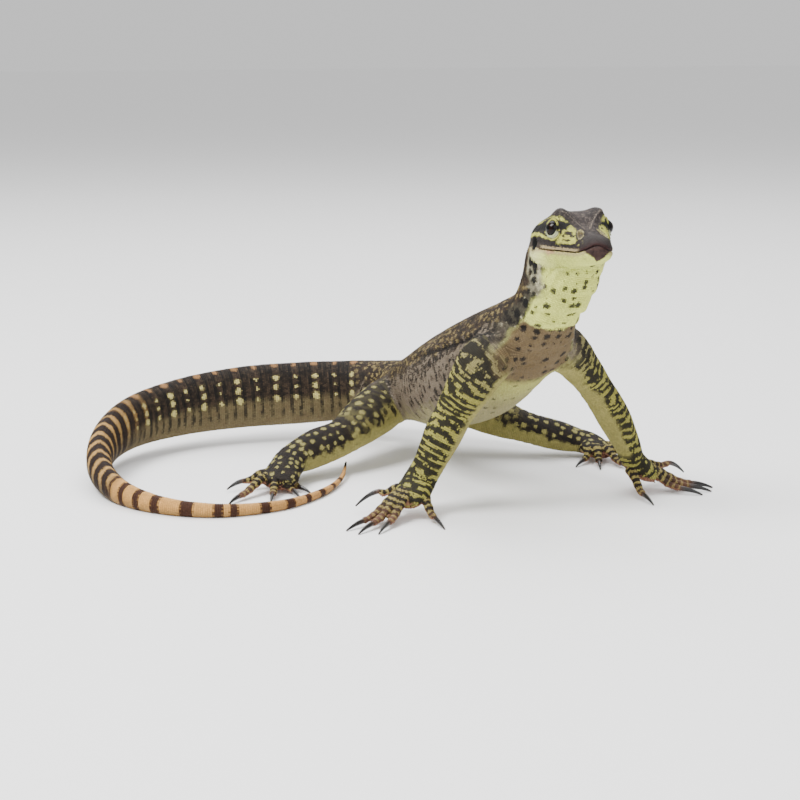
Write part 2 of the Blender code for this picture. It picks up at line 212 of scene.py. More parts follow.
def unit(vectors):
    return vectors / np.maximum(np.linalg.norm(vectors, axis=-1, keepdims=True), 1e-9)


def curve(table, t):
    """Read a table at rows t as a smooth curve through its stations."""
    rows = np.array(table, float)
    last = len(rows) - 1
    t = np.clip(np.asarray(t, float), 0, last)
    i = np.minimum(t.astype(int), last - 1)
    f = (t - i)[..., None]
    a, b, c, d = (rows[np.clip(i + k, 0, last)] for k in (-1, 0, 1, 2))
    square, cube = 2 * a - 5 * b + 4 * c - d, 3 * b - a - 3 * c + d
    return 0.5 * (2 * b + (c - a) * f + square * f**2 + cube * f**3)


def make_tube(name, table, reference, power):
    """Sample a table of stations at even steps along its length."""
    fine = np.linspace(0.0, len(table) - 1, 3000)
    path = curve(table, fine)[:, :3]
    length = np.concatenate(([0.0], np.cumsum(np.linalg.norm(np.diff(path, axis=0), axis=1))))
    count = int(length[-1] / TUBE_STEP) + 2
    s = np.linspace(0, length[-1], count)
    t = np.interp(s, length, fine)
    rows = curve(table, t)
    along = unit(np.gradient(rows[:, :3], axis=0))
    back = unit(reference - along * (along @ reference)[:, None])
    down = rows[:, 5] if rows.shape[1] > 5 else rows[:, 4]
    return SimpleNamespace(
        name=name, t=t, s=s, step=s[1], middle=rows[:, :3] + PLACE, along=along, back=back,
        side=np.cross(along, back), wide=rows[:, 3], up=rows[:, 4], down=down, power=power,
    )


def heading_vector(degrees):
    return np.array((math.cos(math.radians(degrees)), math.sin(math.radians(degrees)), 0.0))


def toe_line(limb, number):
    """Stations of one toe, from inside the palm to the root of its claw."""
    kind = limb[:3]
    palm, headings, reaches = FANS[limb]
    ahead = heading_vector(headings[number])
    raised = RAISED[limb] if number == 4 else 0.0
    reach = reaches[number]
    line = []
    for k, (radius, height) in enumerate(zip(TOE_RADII, TOE_HEIGHTS[kind])):
        share = k / (len(TOE_RADII) - 1)
        out = reach * TOE_ROOT + (reach - CLAW[kind] - reach * TOE_ROOT) * share
        x, y = palm[0] + ahead[0] * out, palm[1] + ahead[1] * out
        line.append((x, y, height + raised * share, radius, radius * TOE_FLATNESS))
    return line


turn = Matrix.Rotation(math.radians(-HEAD_TURN), 3, "Z")
pitch = Matrix.Rotation(math.radians(-HEAD_PITCH), 3, "X")
HEAD_AXES = np.array(turn @ pitch)  # columns: to its left, backwards, upwards
TIP = SNOUT + PLACE


def make_head_tube():
    """The head as a tube whose line runs straight back from the snout along the mouth."""
    fine = np.linspace(0, len(HEAD) - 1, 2000)
    back_by = curve(HEAD, fine)[:, 0]
    s = np.arange(0, HEAD[-1][0], HEAD_STEP)
    rows = curve(HEAD, np.interp(s, back_by, fine))
    side, along, back = (np.ones((len(s), 1)) * HEAD_AXES[:, k] for k in range(3))
    return SimpleNamespace(
        name="head", t=s, s=s, step=HEAD_STEP, middle=TIP + s[:, None] * along,
        along=along, back=back, side=side,
        wide=rows[:, 1], up=rows[:, 2], down=rows[:, 3], power=HEAD_ROUNDNESS,
    )


def leg_reference(limb):
    """Which way the back of a limb faces: up, leaning the way its second toe points."""
    share = 1.0 if limb.startswith("arm") else 0.4
    return unit(UP + heading_vector(FANS[limb][1][2]) * share)


body_tube = make_tube("body", BODY, UP, BODY_ROUNDNESS)
TAIL_START = float(np.interp(TAIL_ROOT, body_tube.t, body_tube.s))
head_tube = make_head_tube()
TUBES = [body_tube, head_tube]
for limb, table in LIMBS.items():
    TUBES.append(make_tube(limb, table, leg_reference(limb), LIMB_ROUNDNESS))
    for n in range(5):
        TUBES.append(make_tube(f"{limb}_toe_{n + 1}", toe_line(limb, n), UP, LIMB_ROUNDNESS))
say("tubes:", len(TUBES), ", length of neck, trunk and tail:", round(body_tube.s[-1]), "mm")


# %% How points lie on a tube
FAR = 50.0  # the distance given to points that aren't near a tube
BATCH = 20000  # points measured at once
NEAR_MARGIN = 9.0


def ramp(low, high, x):
    """0 below low, 1 above high, and smooth between them; low may be the larger."""
    f = np.clip((x - low) / (high - low), 0, 1)
    return f * f * (3 - 2 * f)


def hump(x, middle, width):
    """A smooth bump: 1 at its middle, and nearly 0 two widths away."""
    return np.exp(-(((x - middle) / width) ** 2))


def brow_rise(back_by, across):
    """How far the brow ridges and the hollow crown lift the top of the head."""
    height = BROW[2] * hump(np.abs(across), *BROW_RIDGE)
    hollow = CROWN_DIP[0] * hump(across, 0.0, CROWN_DIP[1])
    return hump(back_by, *BROW[:2]) * (height - hollow)


def nearest_rows(tube, points):
    best = np.empty(len(points), int)
    weight = (tube.middle**2).sum(1)
    for start in range(0, len(points), BATCH):
        part = points[start:start + BATCH]
        best[start:start + BATCH] = np.argmin(weight - 2 * part @ tube.middle.T, axis=1)
    return best


def measure(tube, points):
    """Distance outside the tube, row, length along and angle from its back, for each point."""
    i = nearest_rows(tube, points)
    ahead = ((points - tube.middle[i]) * tube.along[i]).sum(1) / tube.step
    last = len(tube.s) - 1
    x = np.clip(i + np.clip(ahead, -1, 1), 0, last)
    low = np.minimum(x.astype(int), last - 1)
    f = x - low

    def read(values):
        g = f[:, None] if values.ndim > 1 else f
        return values[low] * (1 - g) + values[low + 1] * g

    offset = points - read(tube.middle)
    beyond = np.where((i == 0) & (ahead < 0), -ahead, 0.0)
    beyond = np.where((i == last) & (ahead > 0), ahead, beyond) * tube.step
    across = (offset * read(tube.side)).sum(1)
    rise = (offset * read(tube.back)).sum(1)
    s = read(tube.s)
    if tube.name == "head":
        rise = rise - np.clip(rise / 6.0, 0, 1) * brow_rise(s, across)
    wide = read(tube.wide)
    high = np.where(rise > 0, read(tube.up), read(tube.down))
    power = tube.power
    if tube.name == "head":
        power = power + BROW_SHELF * hump(s, *BROW[:2]) * np.clip(rise / high, 0, 1)
    share = ((np.abs(across) / wide) ** power + (np.abs(rise) / high) ** power) ** (1 / power)
    reach = np.hypot(across, rise)
    outside = reach * (1 - 1 / np.maximum(share, 0.02))
    past = np.where(outside > 0, np.hypot(outside, beyond), np.maximum(outside, beyond))
    outside = np.where(beyond > 0, past, outside)
    return outside, read(tube.t), s, np.arctan2(across / wide, rise / high)


def measure_near(tube, points):
    """The same, but only near the tube; elsewhere the distance is just large."""
    reach = NEAR_MARGIN + max(tube.wide.max(), tube.up.max(), tube.down.max())
    low, high = tube.middle.min(0) - reach, tube.middle.max(0) + reach
    near = ((points > low) & (points < high)).all(1)
    outside = np.full(len(points), FAR)
    t, s, angle = np.zeros(len(points)), np.zeros(len(points)), np.zeros(len(points))
    if near.any():
        outside[near], t[near], s[near], angle[near] = measure(tube, points[near])
    return outside, t, s, angle


def blend_min(a, b, soft):
    """The smaller of two distances, with a smooth fillet where they meet."""
    soft = np.maximum(soft, 1e-3)
    h = np.maximum(soft - np.abs(a - b), 0.0) / soft
    return np.minimum(a, b) - h**3 * soft / 6.0


HEAD_FILLET = 8.0
NAPE_FILLET = 8.0  # and this much more behind the crown
LIMB_FILLET = 6.0
TAIL_FILLET = 0.3  # where a foot comes near the tail they barely join
TOE_FILLET = 1.6
ROOT_LEAN = 1.6  # near its root a limb yields this much of its skin to the trunk
LIMB_ROWS = (2, 8, 14, 20)  # the limbs among the tubes; the rest are toes


def flesh(points):
    """Distance outside the whole animal, and which tube each point belongs to, and where on it."""
    outside, t, s, angle = measure_near(body_tube, points)
    fillet = np.where(t < TAIL_ROOT + 0.8, LIMB_FILLET, TAIL_FILLET)
    owner, nearest = np.zeros(len(points), int), outside.copy()
    table = [(t, s, angle)]
    measured = [measure_near(tube, points) for tube in TUBES[1:]]
    for index, (gap, t, s, angle) in enumerate(measured, 1):
        lean = ROOT_LEAN * ramp(1.9, 1.2, t) if index in LIMB_ROWS else 0.0
        closer = gap + lean < nearest
        owner[closer], nearest[closer] = index, gap[closer]
        table.append((t, s, angle))
    head, _, behind, _ = measured[0]
    total = blend_min(outside, head, HEAD_FILLET + NAPE_FILLET * ramp(34, 42, behind))
    for k in range(len(LIMBS)):
        group = measured[1 + 6 * k][0]
        for toe in range(5):
            group = blend_min(group, measured[2 + 6 * k + toe][0], TOE_FILLET)
        total = blend_min(total, group, fillet)
    pick = np.arange(len(points))
    place = [np.stack([row[j] for row in table])[owner, pick] for j in range(3)]
    return total, owner, *place


say("the snout's tip is", round(float(flesh(TIP[None])[0][0]), 2), "mm outside the flesh")

# %% [markdown]
# ## Chance that repeats
# Spots, blotches and small differences between scales should look random, yet come out the same
# each time. A hash turns the number of a grid cell into a steady value from 0 to 1. Smooth noise
# mixes the values at a cell's eight corners, and dots put one spot in each cell.

# %% Noise and dots
SPOT_EDGE = 0.25  # how soft a spot's edge is, as a share of its radius
DEEPEN = 1.25  # pigments are this much deeper than their codes


def chance(seed, *cells):
    """A steady value from 0 to 1 for each cell of a grid."""
    total = np.full(np.shape(cells[0]), seed * 7919 + 13, np.uint32)
    for factor, cell in zip((374761393, 668265263, 2246822519), cells):
        total = total + np.asarray(cell).astype(np.int64).astype(np.uint32) * np.uint32(factor)
        total = (total ^ (total >> np.uint32(13))) * np.uint32(1274126177)
    total = (total ^ (total >> np.uint32(16))) * np.uint32(2654435761)
    return (total >> np.uint32(8)).astype(float) / float(1 << 24)


def noise(points, size, seed=0):
    """Smooth noise from 0 to 1 whose lumps are about size millimetres across."""
    grid = points / size + 100.0
    cell = np.floor(grid)
    f = grid - cell
    f = f * f * (3 - 2 * f)
    total = 0.0
    for corner in np.ndindex(2, 2, 2):
        weight = np.abs(1 - np.array(corner) - f).prod(axis=1)
        total = total + weight * chance(seed, *(cell + corner).T)
    return total


def sway(points, size, seed):
    """The same noise, from -0.5 to 0.5."""
    return noise(points, size, seed) - 0.5


def dots(u, v, pitch, size, seed, jitter, keep, lean=0.0):
    """Oval dots, one to a cell of pitch (along, around) millimetres, size is their half axes."""
    gu, gv = u / pitch[0] + 500.0, v / pitch[1] + 500.0
    best = np.zeros(len(u))
    for du in (-1, 0, 1):
        for dv in (-1, 0, 1):
            cu, cv = np.floor(gu) + du, np.floor(gv) + dv
            x = (gu - cu - 0.5 - jitter * (chance(seed, cu, cv) - 0.5)) * pitch[0]
            y = (gv - cv - 0.5 - jitter * (chance(seed + 1, cu, cv) - 0.5)) * pitch[1]
            grow = 0.7 + 0.6 * chance(seed + 2, cu, cv)
            x = x + lean * y
            d = np.hypot(x / (size[0] * grow), y / (size[1] * grow))
            shown = chance(seed + 3, cu, cv) < keep
            best = np.maximum(best, shown * ramp(1 + SPOT_EDGE, 1 - SPOT_EDGE, d))
    return best


def blots(points, pitch, size, seed, keep):
    """Round blots where the surface cuts balls set about one pitch apart in space."""
    grid = points / pitch + 300.0
    best = np.zeros(len(points))
    for step in np.ndindex(3, 3, 3):
        cell = np.floor(grid) + np.array(step) - 1
        astray = np.stack([chance(seed + k, *cell.T) for k in range(3)], axis=1) - 0.5
        spot = grid - cell - 0.5 - 0.55 * astray
        radius = size * (0.75 + 0.5 * chance(seed + 3, *cell.T))
        d = np.linalg.norm(spot, axis=1) * pitch / radius
        shown = chance(seed + 4, *cell.T) < keep
        best = np.maximum(best, shown * ramp(1 + SPOT_EDGE, 1 - SPOT_EDGE, d))
    return best


def mix(a, b, share):
    share = np.clip(np.asarray(share, float), 0, 1)[..., None]
    return a * (1 - share) + b * share


def tone(code):
    """A colour from its usual six-figure code, as linear light, deepened."""
    value = np.array([int(code[i:i + 2], 16) / 255 for i in (0, 2, 4)])
    return np.where(value < 0.04045, value / 12.92, ((value + 0.055) / 1.055) ** 2.4) ** DEEPEN


say("noise at three places:", noise(np.eye(3) * 7, 4.0, 1).round(2))

# %% [markdown]
# ## One skin
# The skin has no seams, so it is grown in three steps. The tubes are lofted and melted together
# with a voxel remesh, the result is thinned to an even net of triangles, and each point of the
# net is then pulled on to the smooth surface that the tubes' measures describe, fillets and all.
# The remesh gives a sound closed net, and the measures give it an exact shape.

# %% Loft and melt the tubes
VOXEL = 0.55
SKIN_TRIANGLES = 120000
LOFT_STEP = 1.5
LOFT_SIDES = {"body": 40, "head": 40}
TOE_SIDES = 20  # and of the limbs
SOLE = 0.1  # no skin lies lower than this


def loft_tube(tube, sides, base):
    """Rings of points round a tube, and the faces between them."""
    every = max(1, int(LOFT_STEP / tube.step))
    rows = list(range(0, len(tube.s), every))
    if rows[-1] != len(tube.s) - 1:
        rows.append(len(tube.s) - 1)
    angles = 2 * math.pi * (np.arange(sides) + 0.5) / sides
    cosine = np.sign(np.cos(angles)) * np.abs(np.cos(angles)) ** (2 / tube.power)
    sine = np.sign(np.sin(angles)) * np.abs(np.sin(angles)) ** (2 / tube.power)
    points, faces = [], []
    for r in rows:
        across = (cosine * tube.wide[r])[:, None]
        rise = (sine * np.where(sine > 0, tube.up[r], tube.down[r]))[:, None]
        points.append(tube.middle[r] + across * tube.side[r] + rise * tube.back[r])
    for r in range(len(rows) - 1):
        for k in range(sides):
            n = (k + 1) % sides
            a, b = base + r * sides, base + (r + 1) * sides
            faces.append((a + k, a + n, b + n, b + k))
    faces.append(tuple(base + k for k in reversed(range(sides))))
    faces.append(tuple(base + (len(rows) - 1) * sides + k for k in range(sides)))
    return np.vstack(points), faces


def plain_mesh(name, points, faces):
    mesh = bpy.data.meshes.new(name)
    mesh.from_pydata([tuple(p) for p in points], [], faces)
    mesh.update()
    return mesh


def add_object(name, mesh):
    thing = bpy.data.objects.new(name, mesh)
    bpy.context.scene.collection.objects.link(thing)
    return thing


def count_triangles(thing):
    return sum(len(face.vertices) - 2 for face in thing.data.polygons)


def apply_modifiers(thing):
    """Turn what the modifiers show into the object's own mesh, and drop them."""
    bpy.context.view_layer.update()
    shown = thing.evaluated_get(bpy.context.evaluated_depsgraph_get())
    mesh = bpy.data.meshes.new_from_object(shown)
    thing.modifiers.clear()
    thing.data = mesh


def grow_net():
    """A closed net of even triangles over all the tubes."""
    points, faces, base = [], [], 0
    for tube in TUBES:
        p, f = loft_tube(tube, LOFT_SIDES.get(tube.name, TOE_SIDES), base)
        points.append(p)
        faces += f
        base += len(p)
    points = np.vstack(points)
    points[:, 2] = np.maximum(points[:, 2], SOLE / 2)
    net = add_object("skin", plain_mesh("skin", points * MM, faces))
    remesh = net.modifiers.new("melt", "REMESH")
    remesh.mode = "VOXEL"
    remesh.voxel_size = VOXEL * MM
    apply_modifiers(net)
    say("melted net:", len(net.data.vertices), "points")
    count = count_triangles(net)
    thin = net.modifiers.new("thin", "DECIMATE")
    thin.ratio = SKIN_TRIANGLES / count
    thin.use_collapse_triangulate = True
    apply_modifiers(net)
    say("thinned net:", len(net.data.vertices), "points,", len(net.data.polygons), "faces")
    return net


def read_rows(items, key, columns, kind=np.float32):
    """One row of numbers for each item of a mesh."""
    flat = np.empty(len(items) * columns, kind)
    items.foreach_get(key, flat)
    return flat.reshape(-1, columns)


def read_points(mesh):
    return read_rows(mesh.vertices, "co", 3).astype(float) / MM


def write_points(mesh, points):
    mesh.vertices.foreach_set("co", (points * MM).astype(np.float32).ravel())
    mesh.update()


def read_normals(mesh):
    return read_rows(mesh.vertex_normals, "vector", 3).astype(float)


def read_edges(mesh):
    return read_rows(mesh.edges, "vertices", 2, np.int32)


def relax(points, edges, rounds):
    """Move each point halfway to the middle of its neighbours."""
    for _ in range(rounds):
        total = np.zeros_like(points)
        count = np.zeros(len(points))
        for a, b in ((0, 1), (1, 0)):
            count += np.bincount(edges[:, a], minlength=len(points))
            for axis in range(3):
                total[:, axis] += np.bincount(edges[:, a], points[edges[:, b], axis], len(points))
        points = points + 0.5 * (total / np.maximum(count, 1)[:, None] - points)
    return points


def pull_to_flesh(net, rounds):
    """Slide the net's points on to the smooth surface, a coat's depth inside the solids."""
    edges = read_edges(net.data)
    points = read_points(net.data)
    for _ in range(rounds):
        points = relax(points, edges, 2)
        write_points(net.data, points)
        outside = flesh(points)[0]
        points = points - read_normals(net.data) * np.clip(outside + COAT_DEPTH, -2, 2)[:, None]
    points[:, 2] = np.maximum(points[:, 2], SOLE)
    write_points(net.data, points)
    return points


def refine(net, wanted):
    """Split every edge whose ends are both wanted, so that small forms have points to stand on."""
    points = read_points(net.data)
    chosen = wanted(points)
    work = bmesh.new()
    work.from_mesh(net.data)
    work.verts.ensure_lookup_table()
    picked = [e for e in work.edges if chosen[e.verts[0].index] and chosen[e.verts[1].index]]
    bmesh.ops.subdivide_edges(work, edges=picked, cuts=1, use_grid_fill=True)
    bmesh.ops.triangulate(work, faces=[f for f in work.faces if len(f.verts) > 3])
    work.to_mesh(net.data)
    work.free()
    net.data.update()


skin = grow_net()
pull_to_flesh(skin, 3)
say("skin pulled to shape:", len(skin.data.polygons), "triangles")

# %% [markdown]
# ## The head
# The head gets most care. Places on it are counted from the snout: how far behind the tip, how far
# off the midline, and how far above the mouth. The skin is made finer round the eyes, mouth,
# nostrils and ears, and each feature is then a small function that pushes the skin in or out.
# Sculpting by hand would be freer, but functions can be read, measured and repeated.

# %% Places on the head


def head_place(points):
    """Distance behind the snout, across and above the mouth."""
    local = (points - TIP) @ HEAD_AXES
    return local[:, 1], local[:, 0], local[:, 2]


def head_point(back_by, across, rise):
    return TIP + HEAD_AXES @ np.array((across, back_by, rise))


MOUTH_CORNER = 29.0
NOSTRIL = (9.2, 4.3, 6.5)  # behind the snout, off the midline, above the mouth
NOSTRIL_REACH = (2.9, 1.1)  # half lengths of its oval, which slants back up the snout
EAR = (31.8, 12.6, 2.3)
EAR_REACH = (1.3, 2.4)
ELSEWHERE = 9.0  # the measure of points that aren't on the feature's own side
GAZE = (16.0, 5.0)  # the eyes look this many degrees forward and up
LID_OPENING = (43.0, 43.0)  # half angles of the eye's opening, along and up
OPENING_SHIFT = (0.35, 0.25)  # how far the opening sits in front of and above the ball's middle
LID = 0.5  # thickness of an eyelid
OPENING = (EYE_RADIUS + LID) * np.sin(np.radians(LID_OPENING))  # its half lengths
HEAD_BOX = ((-2, 44), (-16, 16), (-9, 18))  # the finer skin: behind the snout, across, up
NAPE_BOX = ((-4, 52), (-20, 20), (-14, 60))  # the reach of the head's markings


def mouth_height(back_by, across):
    """The line of the lips: nearly level at the sides, arched up at the front."""
    front = 2.6 * hump(across, -0.9, 4.2) * ramp(9, 2, back_by)
    return front + 0.35 * ramp(6, 20, back_by) + 0.5 * ramp(20, 30, back_by)


def mouth_depth(points):
    """1 in the seam between the lips, 0 away from it."""
    back_by, across, rise = head_place(points)
    off = np.abs(rise - mouth_height(back_by, across))
    width = 0.28 + 0.1 * ramp(6, 2, back_by)
    return (1 - ramp(0.45, 1.15, off / width)) * ramp(MOUTH_CORNER + 1, MOUTH_CORNER - 2, back_by)


def eye_frame(side):
    """The eye's middle, and its axes: forward, up and along its gaze; side is -1 for the right."""
    forward, up = map(math.radians, GAZE)
    level = math.cos(up)
    gaze = np.array((side * math.cos(forward) * level, -math.sin(forward) * level, math.sin(up)))
    ahead = unit(np.cross(np.cross(gaze, (0, -1.0, 0)), gaze))
    high = unit(np.cross(gaze, ahead) * -side)
    middle = head_point(EYE[0], side * EYE[1], EYE[2])
    return middle, HEAD_AXES @ ahead, HEAD_AXES @ high, HEAD_AXES @ gaze


def lid_measure(points, side):
    """Distance from the eye's middle, a measure that is 1 at the edge of its opening, and where
    the point lies in front of (+) or behind, and above (+) or below the middle, in millimetres."""
    middle, ahead, high, gaze = eye_frame(side)
    offset = points - middle
    away = np.linalg.norm(offset, axis=1)
    forward, upward = offset @ ahead - OPENING_SHIFT[0], offset @ high - OPENING_SHIFT[1]
    wide, tall = OPENING
    corner = np.clip(1.0 - 0.1 * forward * upward / (wide * tall), 0.85, 1.15)
    measure = np.hypot(forward / wide, upward / tall) / corner
    measure = np.where((offset @ gaze < -1.0) | (away > 11), ELSEWHERE, measure)
    return away, measure, forward, upward


def near(points, place, reach):
    """1 at a place on either side of the head, falling to 0 at its reach along and up."""
    back_by, across, rise = head_place(points)
    d = np.hypot((back_by - place[0]) / reach[0], (rise - place[2]) / reach[1])
    return np.where(np.abs(across) > place[1] * 0.45, d, ELSEWHERE)


def nostril_measure(points):
    """1 at the edge of the oval nostril on either side, less inside it."""
    back_by, across, rise = head_place(points)
    offset = np.stack([back_by, np.abs(across), rise], axis=1) - NOSTRIL
    along, aside = offset @ (0.84, -0.28, 0.46), offset @ (-0.41, -0.88, 0.22)
    depth = offset @ (0.34, -0.37, -0.86)
    measure = np.hypot(along / NOSTRIL_REACH[0], aside / NOSTRIL_REACH[1])
    return np.where(np.abs(depth) < 4, measure, ELSEWHERE)


say("eye opening:", (2 * OPENING).round(1), "mm, ball:", 2 * EYE_RADIUS, "mm")

# %% Finer skin on the face


def on_head(points, box=HEAD_BOX):
    """Whether points lie in a box about the head."""
    inside = [(x > low) & (x < high) for x, (low, high) in zip(head_place(points), box)]
    return np.all(inside, axis=0)


def nearest_lid(points):
    """The lid's measure at whichever eye is nearer."""
    return np.minimum(lid_measure(points, -1)[1], lid_measure(points, 1)[1])


def face_detail(points, margin):
    """Where the eyes, mouth, nostrils and ears need a finer net."""
    back_by, across, rise = head_place(points)
    eyes = nearest_lid(points) < 1.4 + margin
    mouth = np.abs(rise - mouth_height(back_by, across)) < 1.0 + margin
    mouth = mouth & (back_by < MOUTH_CORNER + 2)
    holes = (nostril_measure(points) < 1.6 + margin) | (near(points, EAR, (2.2, 4.0)) < 1 + margin)
    return on_head(points) & (eyes | mouth | holes)


def eye_rims(points):
    measure = nearest_lid(points)
    return on_head(points) & (measure > 0.8) & (measure < 1.75)


refine(skin, on_head)
refine(skin, lambda points: face_detail(points, 0.5))
pull_to_flesh(skin, 2)
refine(skin, eye_rims)
points = pull_to_flesh(skin, 1)
say("finer face:", len(skin.data.polygons), "triangles")

# %% [markdown]
# ## Folds, lids, lips and holes
# Real skin is loose. It folds under the throat, along the flank and where the legs join, it rings
# the eyes, and it is tight over knuckles. Each fold is a narrow valley with a soft ridge beside
# it. A painted height map would be usual; here each form is a small sum of humps, so that every
# depth and place is a number to read.

# %% Lids, lips and ear


def sculpt_eyes(points):
    """Lay lids over each eyeball and sink the skin inside it where the eye shows."""
    points = points.copy()
    for side in (-1, 1):
        away, measure, _, upward = lid_measure(points, side)
        close = (away < 8.5) & on_head(points) & (measure < 2.4)
        middle = eye_frame(side)[0]
        way = (points - middle) / np.maximum(away, 1e-6)[:, None]
        lid = EYE_RADIUS + LID - 0.05 + 0.3 * hump(measure, 1.09, 0.08)
        fold = 0.22 * hump(measure, 1.58, 0.09) - 0.3 * hump(measure, 1.44, 0.055)
        fold = fold - 0.28 * hump(measure, 1.75, 0.07)
        lower = ramp(1.0, -1.0, upward)
        covered = np.where(away < lid, lid, away + (lid - away) * 0.6 * ramp(1.45, 1.05, measure))
        covered = covered + fold * (0.3 + 0.7 * lower)
        sunk = np.minimum(away, EYE_RADIUS - 0.7)
        edge = ramp(0.97, 1.03, measure)
        wanted = sunk * (1 - edge) + covered * edge
        points[close] = (middle + way * wanted[:, None])[close]
    return points


def head_lift(points):
    """How far the skin of the head stands out, besides the eyes."""
    back_by, across, rise = head_place(points)
    out = np.abs(across)
    mouth = rise - mouth_height(back_by, across)
    on_mouth = ramp(MOUTH_CORNER + 1, MOUTH_CORNER - 3, back_by)
    lift = -(0.6 + 0.6 * ramp(3, 9, back_by)) * mouth_depth(points)
    lips = hump(mouth, 1.0, 0.55) + 0.8 * hump(mouth, -1.0, 0.6)
    lift += 0.26 * on_mouth * ramp(3, 9, back_by) * lips
    lift -= 0.18 * on_mouth * hump(mouth, 2.3, 0.35) * ramp(6, 9, back_by)
    # A ridge runs from each brow forward and inward to the snout, with a hollow between them.
    ridge_out = np.interp(back_by, (7, 14, 17, 20, 24), (2.2, 2.6, 4.2, 7.6, 9.2))
    ridge = hump(out, ridge_out, 0.7) * ramp(6.5, 10, back_by) * ramp(25, 21, back_by)
    hollow = hump(across, 0, 1.6) * ramp(7, 11, back_by) * ramp(24, 18, back_by)
    lift += (0.42 * ridge - 0.25 * hollow) * ramp(4, 7, rise)
    # The hollow in front of the eye, and the bulge of the jaw muscle behind it.
    lift -= 0.7 * hump(back_by, 15.6, 2.6) * hump(rise, 5.4, 2.2) * ramp(3, 6, out)
    lift += 0.5 * hump(back_by, 32, 4.5) * hump(rise, 5.5, 3.5) * ramp(5, 9, out)
    hole = nostril_measure(points)
    lift += 0.25 * hump(hole, 1.25, 0.3) - 0.55 * ramp(1.05, 0.6, hole)
    grooves = np.cos(2 * math.pi * (back_by + 0.25 * rise) / 3.1)
    lift += 0.1 * grooves * ramp(-1.2, -2.4, rise) * ramp(31, 26, back_by)
    return lift


def ear_lift(points):
    """The ear: an upright hole with a soft rim, behind the corner of the jaw."""
    ear = near(points, EAR, EAR_REACH)
    behind = ramp(-0.6, 0.6, head_place(points)[0] - EAR[0])
    lift = 0.35 * behind * hump(ear, 1.4, 0.35) - 1.3 * ramp(1.1, 0.5, ear)
    lift -= 0.45 * (1 - behind) * ramp(2.6, 1.1, ear)
    return np.where(on_head(points), lift, 0.0)


say("the lips part by", round(float(-head_lift(head_point(12, 8, 0.1)[None])[0]), 2), "mm")

# %% Folds of the body and limbs
THROAT_FOLDS = (  # behind the top of the neck, half width, depth
    (9.0, 0.8, 0.5), (16.0, 0.9, 0.75), (23.5, 1.0, 1.0), (30.0, 1.1, 1.3), (40.0, 1.0, 0.8),
    (47.5, 0.9, 0.4),
)
NECK_FOLDS = ((96.0, 0.7), (114.0, 0.55))  # degrees round from the nape, depth
RADIAN = 57.3  # in degrees
KEEL_PITCH = 1.9  # between the teeth of the tail's keel
JOINT_ROWS = (1.2, 3.0, 5.2)  # shoulder, elbow and wrist, by row of the limb's table
SMOOTHED = (  # places where the tubes meet badly: middle, reach, rounds of smoothing
    (head_point(0.0, 0.3, 0.9), 3.4, 14), (head_point(46.0, 0.0, -2.0), 15.0, 80),
)


def body_radius(s):
    """The mean radius of the body where it is s millimetres along."""
    row = np.clip((s / body_tube.step).astype(int), 0, len(body_tube.s) - 1)
    return 0.5 * (body_tube.wide[row] + 0.5 * (body_tube.up[row] + body_tube.down[row]))


def from_flank_fold(turn, s):
    """Degrees from the long fold of the flank, which climbs towards the hips."""
    return turn - (80 - 0.27 * (s - 58))


def fold_at(distance, width, depth):
    """A valley with a soft ridge on its far side."""
    ridge = 0.55 * depth * hump(distance, 1.9 * width, 1.4 * width)
    return ridge - depth * hump(distance, 0, width)


def body_lift(points, s, angle):
    """Folds of throat and flank, slack skin at the legs, and the keel of the tail."""
    turn = np.degrees(np.abs(angle))
    around = body_radius(s)
    v = np.abs(angle) * around
    wander = 2.2 * sway(points, 9.0, 91)
    below = ramp(88, 128, turn)
    lift = np.zeros(len(points))
    for place, width, depth in THROAT_FOLDS:
        lift += fold_at(place - s + wander + 0.045 * (180 - turn), width, depth) * below
    for at, depth in NECK_FOLDS:
        edge = (turn - at + 12 * sway(points, 12.0, 92)) / RADIAN * around
        lift += fold_at(edge, 0.9, depth) * ramp(2, 12, s) * ramp(52, 42, s)
    flank = from_flank_fold(turn, s) / RADIAN * around + 0.5 * wander
    lift += fold_at(-flank, 1.0, 1.1) * ramp(52, 62, s) * ramp(140, 110, s)
    slack = sway(np.stack([s / 2.2, v / 7.5, np.sign(angle) * 3], axis=1), 1.0, 93)
    at_legs = ramp(60, 85, turn) * ramp(165, 130, turn) * ramp(44, 60, s) * ramp(215, 190, s)
    lift += 0.7 * slack * at_legs
    lift += 0.35 * slack * ramp(44, 20, s) * ramp(50, 70, turn)
    saw = (s / KEEL_PITCH) % 1.0
    on_tail = ramp(TAIL_START, TAIL_START + 25, s) * ramp(470, 420, s)
    return lift + on_tail * hump(v, 0.9, 0.6) * (0.25 + 0.35 * saw)


def limb_lift(points, normals, t, s, toe):
    """Wrinkles at the joints, pads under the toes and knuckles along them."""
    if toe:
        pads = 0.16 * ramp(-0.2, -0.7, normals[:, 2]) * np.cos(2 * math.pi * s / 2.2)
        return 0.14 * np.cos(2 * math.pi * s / 4.4) * ramp(2, 5, s) + pads
    wander = sway(points, 5.0, 95)
    lift = 0.5 * sway(points, 6.0, 96)
    for joint in JOINT_ROWS:
        for side in (-0.22, 0.0, 0.22):
            lift += fold_at((t - joint - side) * 10.0 + 2.0 * wander, 0.5, 0.3)
    return lift


